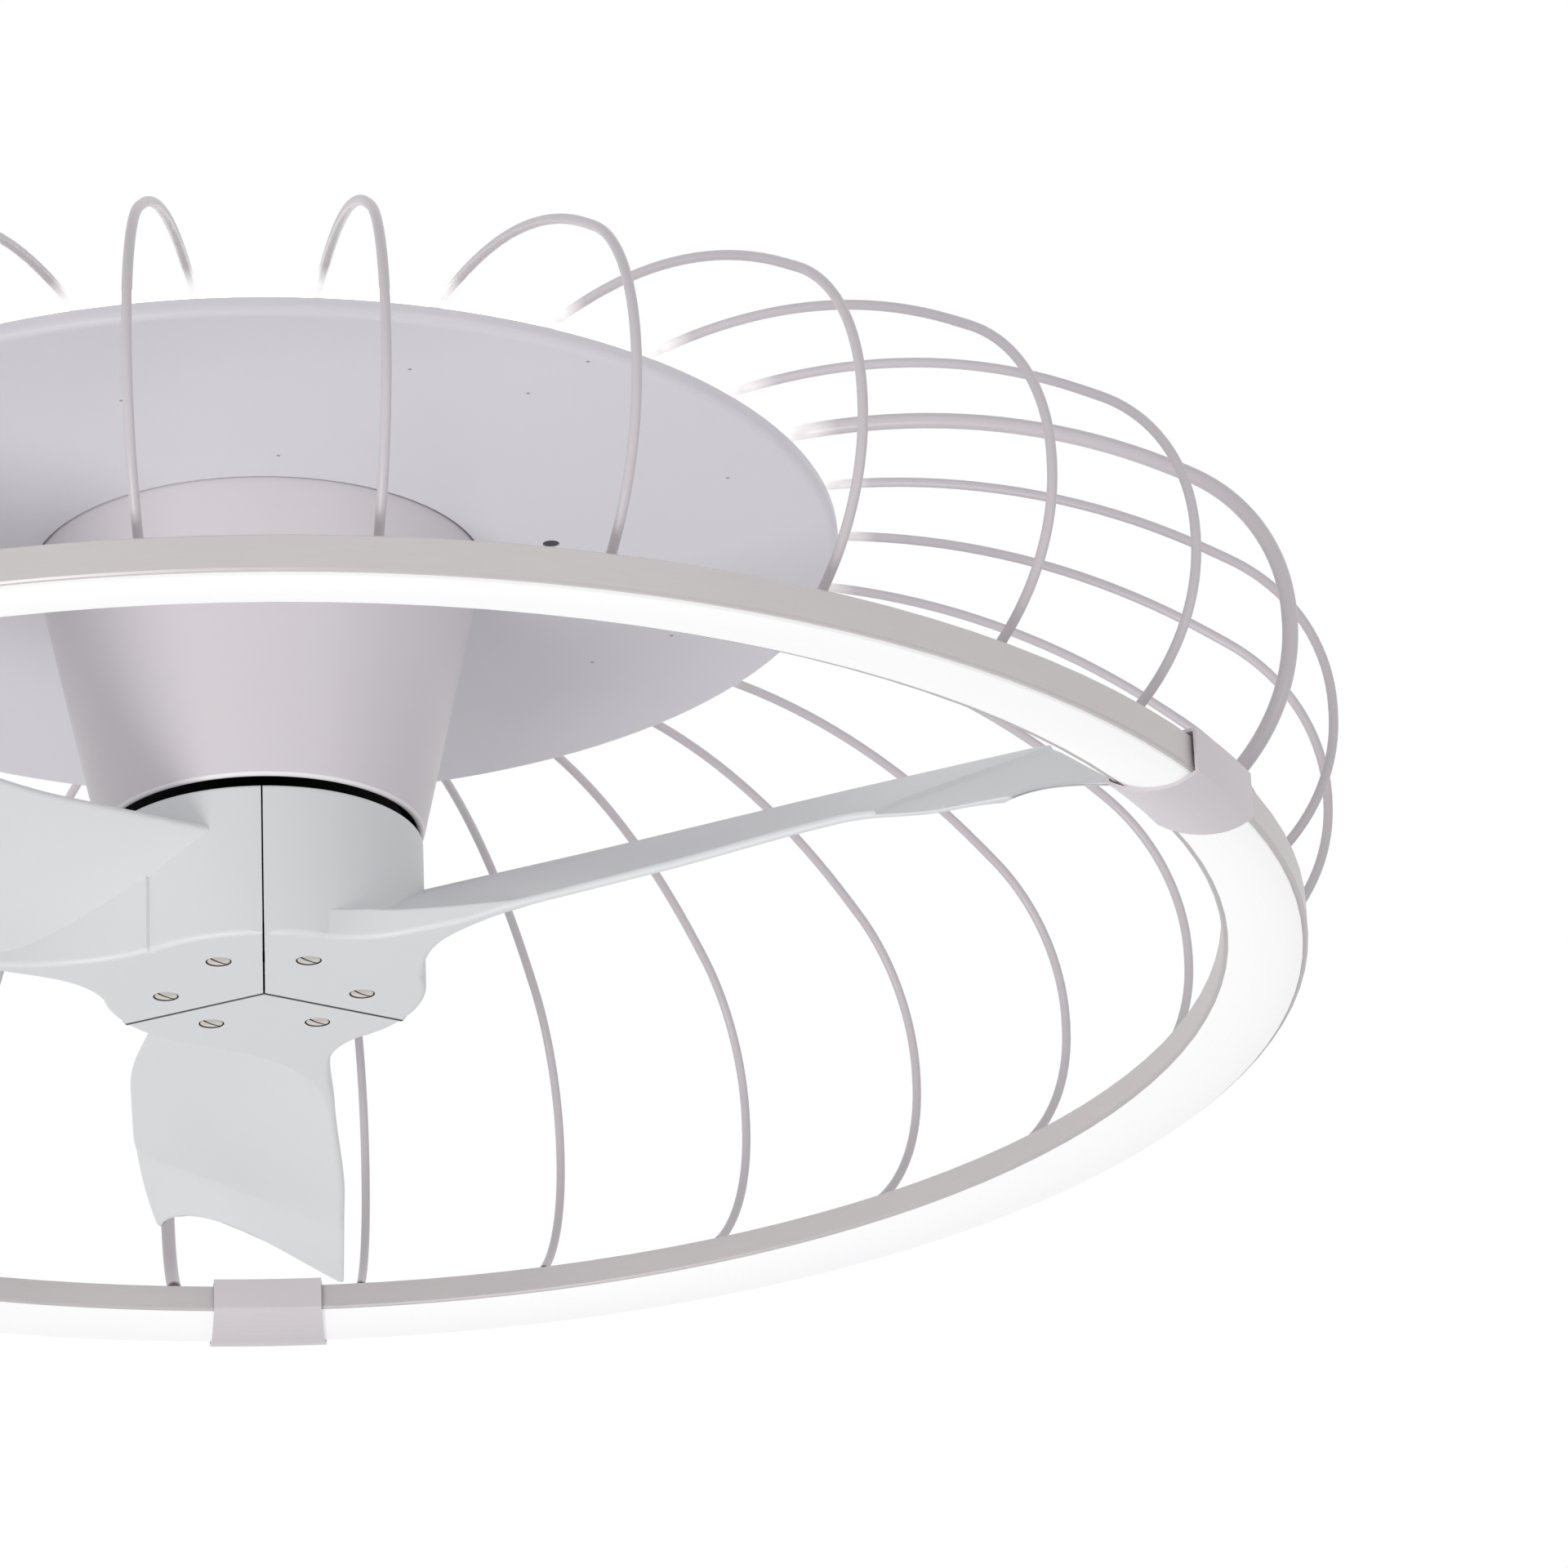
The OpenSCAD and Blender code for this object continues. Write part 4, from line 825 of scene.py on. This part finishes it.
def add_hub_wall(mesh):
    """A third of the hub's wall with its round top, closed at both seams, and the inner floor."""
    half = HUB_WALL / 2
    profile = [(HUB_R, HUB_LOW + HUB_EDGE), (HUB_R, HUB_TOP - half)]
    profile += arc_points(HUB_R - half, HUB_TOP - half, half, 15, 180, 11)
    profile += [(HUB_R - HUB_WALL, HUB_LOW + HUB_FLOOR)]
    rows = []
    for k in range(WALL_STEPS + 1):
        t = math.radians(-SEAM_TURN + 2 * SEAM_TURN * k / WALL_STEPS)
        row = [(r * math.cos(t), r * math.sin(t), z) for r, z in profile]
        from_seam = min(1.0, min(k, WALL_STEPS - k) / 2)
        edge = SEAM_EDGE + (HUB_EDGE - SEAM_EDGE) * from_seam
        row[0] = (*row[0][:2], HUB_LOW + edge)
        rows.append(row)
    add_rows(mesh, rows, False)
    for row in (rows[0], rows[-1]):
        mesh.faces.new([mesh.verts.new([c * MM for c in p]) for p in row])
    inner = [(*FLOOR_TIP, HUB_LOW + HUB_FLOOR)] + [row[-1] for row in rows]
    fill_flat(mesh, [inner], True)


print("screw seats at", SCREW_AT, "mm from the axis")

# %% [markdown]
# The three blades are the same moulding turned by 120 degrees. Each replaces its plain solid, which
# stays for the physics. Faces are shaded smooth, except over the edges that are sharper than
# SHARP_EDGE.

# %% Build the blades
SHARP_EDGE = 32
SAME_POINT, NO_LENGTH = 1e-6, 1e-7
NORMAL_WEIGHT = 80


def smooth_piece(name, mesh):
    """Shades the mesh smooth between its sharp edges and puts it into the scene."""
    for face in mesh.faces:
        face.smooth = True
    for edge in mesh.edges:
        if len(edge.link_faces) != 2 or edge.calc_face_angle(0.0) > math.radians(SHARP_EDGE):
            edge.smooth = False
    data = bpy.data.meshes.new(name)
    mesh.to_mesh(data)
    mesh.free()
    piece = bpy.data.objects.new(name, data)
    scene.collection.objects.link(piece)
    return piece


def blade_object(name, turn):
    mesh = bmesh.new()
    add_sheet(mesh)
    add_seats(mesh, add_floor(mesh))
    add_root(mesh)
    add_hub_wall(mesh)
    bmesh.ops.remove_doubles(mesh, verts=mesh.verts[:], dist=SAME_POINT)
    bmesh.ops.dissolve_degenerate(mesh, edges=mesh.edges[:], dist=NO_LENGTH)
    bmesh.ops.recalc_face_normals(mesh, faces=mesh.faces[:])
    turned = Matrix.Rotation(math.radians(turn - 90.0), 4, "Z")
    in_place = turned @ Matrix.Translation((0, 0, LIP_Z * MM))
    bmesh.ops.transform(mesh, matrix=in_place, verts=mesh.verts[:])
    piece = smooth_piece(name, mesh)
    even = piece.modifiers.new("even_normals", "WEIGHTED_NORMAL")
    even.keep_sharp = True
    even.weight = NORMAL_WEIGHT
    return piece


for node, turn in BLADE_TURNS.items():
    piece = blade_object("moulded_" + node, turn)
    piece.data.materials.append(FINISHES["blade_plastic"])
    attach(piece, "rotor")
    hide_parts(node)
    print(piece.name, len(piece.data.polygons), "faces")

# %% [markdown]
# ## Blade screws
# Six slotted screws sit a little below the hub's face. Each head is a shallow dome on a skirt. The
# dome is laid in strips along the slot, and the strips next to the slot drop to its floor.

# %% Screws with domed, slotted heads
HEAD_R, HEAD_H, HEAD_SUNK, HEAD_DOME = 3.25, 0.45, 0.28, 0.3
SLOT_W, SLOT_DEEP, SLOT_TURN = 0.7, 0.7, 45.0
SHANK_R, SHANK_L, SHANK_TIP = 2.0, 9.0, 0.5


def head_height(x, y):
    """Height of the domed head above its rim."""
    return HEAD_DOME * (1.0 - (x * x + y * y) / (HEAD_R * HEAD_R))


def strip(y, sunk):
    half = math.sqrt(max(0.0, HEAD_R * HEAD_R - y * y))
    steps = [half * math.sin(math.radians(a)) for a in range(-90, 91, 15)]
    return [(x, y, head_height(x, y) - sunk) for x in steps]


def screw_rows():
    half = SLOT_W / 2
    side = [half + (HEAD_R - half) * math.sin(math.radians(a)) for a in range(0, 91, 10)]
    rows = [strip(-y, 0.0) for y in reversed(side)]
    rows += [strip(-half, SLOT_DEEP), strip(half, SLOT_DEEP)]
    return rows + [strip(y, 0.0) for y in side]


def screws_object(name):
    skirt = [(HEAD_R, 0.0), (HEAD_R, -HEAD_H), (SHANK_R, -HEAD_H), (SHANK_R, -SHANK_L),
             (SHANK_R - SHANK_TIP, -SHANK_L - SHANK_TIP)]
    rings = [[(*p, z) for p in circle(0, 0, r)] for r, z in skirt]
    head_down = Matrix.Diagonal((1, 1, -1, 1))
    mesh = bmesh.new()
    for turn in BLADE_TURNS.values():
        for side in (-1, 1):
            a = math.radians(turn - 90.0 + side * SCREW_TURN)
            at = Matrix.Translation((SCREW_AT * MM * math.cos(a), SCREW_AT * MM * math.sin(a),
                                     (LIP_Z + HUB_LOW + HEAD_SUNK) * MM))
            at = at @ Matrix.Rotation(math.radians(SLOT_TURN), 4, "Z") @ head_down
            grid = add_rows(mesh, screw_rows(), False) + add_rows(mesh, rings, True)
            mesh.faces.new(grid[-1])
            bmesh.ops.transform(mesh, matrix=at, verts=[v for row in grid for v in row])
    bmesh.ops.recalc_face_normals(mesh, faces=mesh.faces[:])
    return smooth_piece(name, mesh)


piece = screws_object("slotted_blade_screws")
piece.data.materials.append(FINISHES["screw_plating"])
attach(piece, "rotor")
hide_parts("blade_screws")
print(piece.name, len(piece.data.polygons), "faces")

# %% [markdown]
# ## Light and backdrop
# A pale room: soft light from all sides, a broad lamp low on the left and a weak one on the right.
# What the camera sees of the room, directly, in a mirror or through glass, is plain white. On the
# fan that brightens reflections only.

# %% World and lamps
ROOM_TONE, ROOM_STRENGTH, WHITE = (0.97, 0.97, 1.0), 0.68, (1.0, 1.0, 1.0)
LAMP_TARGET = Vector((0.0, 0.0, -0.1))
world = bpy.data.worlds.new("pale_room")
scene.world = world
world.use_nodes = True
room = world.node_tree
room.nodes.clear()


def room_light(colour, strength):
    node = room.nodes.new("ShaderNodeBackground")
    node.inputs["Color"].default_value = (*colour, 1.0)
    node.inputs["Strength"].default_value = strength
    return Wire(room, node.outputs[0])


path = room.nodes.new("ShaderNodeLightPath")
camera_ray = Wire(room, path.outputs["Is Camera Ray"])
mirror_ray = Wire(room, path.outputs["Is Glossy Ray"])
glass_ray = Wire(room, path.outputs["Is Transmission Ray"])
seen = camera_ray.math("MAXIMUM", mirror_ray).math("MAXIMUM", glass_ray)
choose = room.nodes.new("ShaderNodeMixShader")
plug(room, choose.inputs[0], seen)
plug(room, choose.inputs[1], room_light(ROOM_TONE, ROOM_STRENGTH))
plug(room, choose.inputs[2], room_light(WHITE, 1.0))
room_out = room.nodes.new("ShaderNodeOutputWorld")
plug(room, room_out.inputs["Surface"], Wire(room, choose.outputs[0]))


def soft_lamp(name, at, size, watts):
    data = bpy.data.lights.new(name, "AREA")
    data.shape = "DISK"
    data.size = size
    data.energy = watts
    lamp = bpy.data.objects.new(name, data)
    lamp.location = at
    lamp.rotation_euler = (LAMP_TARGET - Vector(at)).to_track_quat("-Z", "Y").to_euler()
    scene.collection.objects.link(lamp)


soft_lamp("low_left_lamp", at=(-1.2, -1.3, -2.1), size=1.4, watts=31.0)
soft_lamp("right_fill_lamp", at=(1.5, -2.2, -0.5), size=1.0, watts=5.0)
print("lamps:", [lamp.name for lamp in bpy.data.lights])

# %% [markdown]
# The floor is a plain grid. In views from above it would look grey, so it glows a little. Only the
# camera sees that glow, so it throws no light on the fan.

# %% Floor
FLOOR_Z, FLOOR_SIZE, FLOOR_CELLS, FLOOR_GLOW = -2.45, 14.0, 8, 0.4
bpy.ops.mesh.primitive_grid_add(x_subdivisions=FLOOR_CELLS, y_subdivisions=FLOOR_CELLS,
                                size=FLOOR_SIZE, location=(0, 0, FLOOR_Z))
floor = bpy.context.active_object
floor.name = "studio_floor"
floor_finish = Finish("studio_floor")
floor_tone = floor_finish.blend(floor_finish.noise(400.0), (0.80, 0.80, 0.80), (0.84, 0.84, 0.84))
seen_by_camera = floor_finish.add_node("ShaderNodeLightPath", out="Is Camera Ray")
floor_glow = floor_finish.blend(seen_by_camera, (0.0, 0.0, 0.0), WHITE)
floor_finish.set(Base_Color=floor_tone, Roughness=0.9, Emission_Color=floor_glow,
                 Emission_Strength=FLOOR_GLOW)
floor.data.materials.append(floor_finish.material)
print(floor.name, FLOOR_SIZE, "metres wide at", FLOOR_Z)

# %% [markdown]
# ## Close the scene
# The picture keeps Blender's plain Standard view.

# %% Finish
scene.view_settings.view_transform = "Standard"
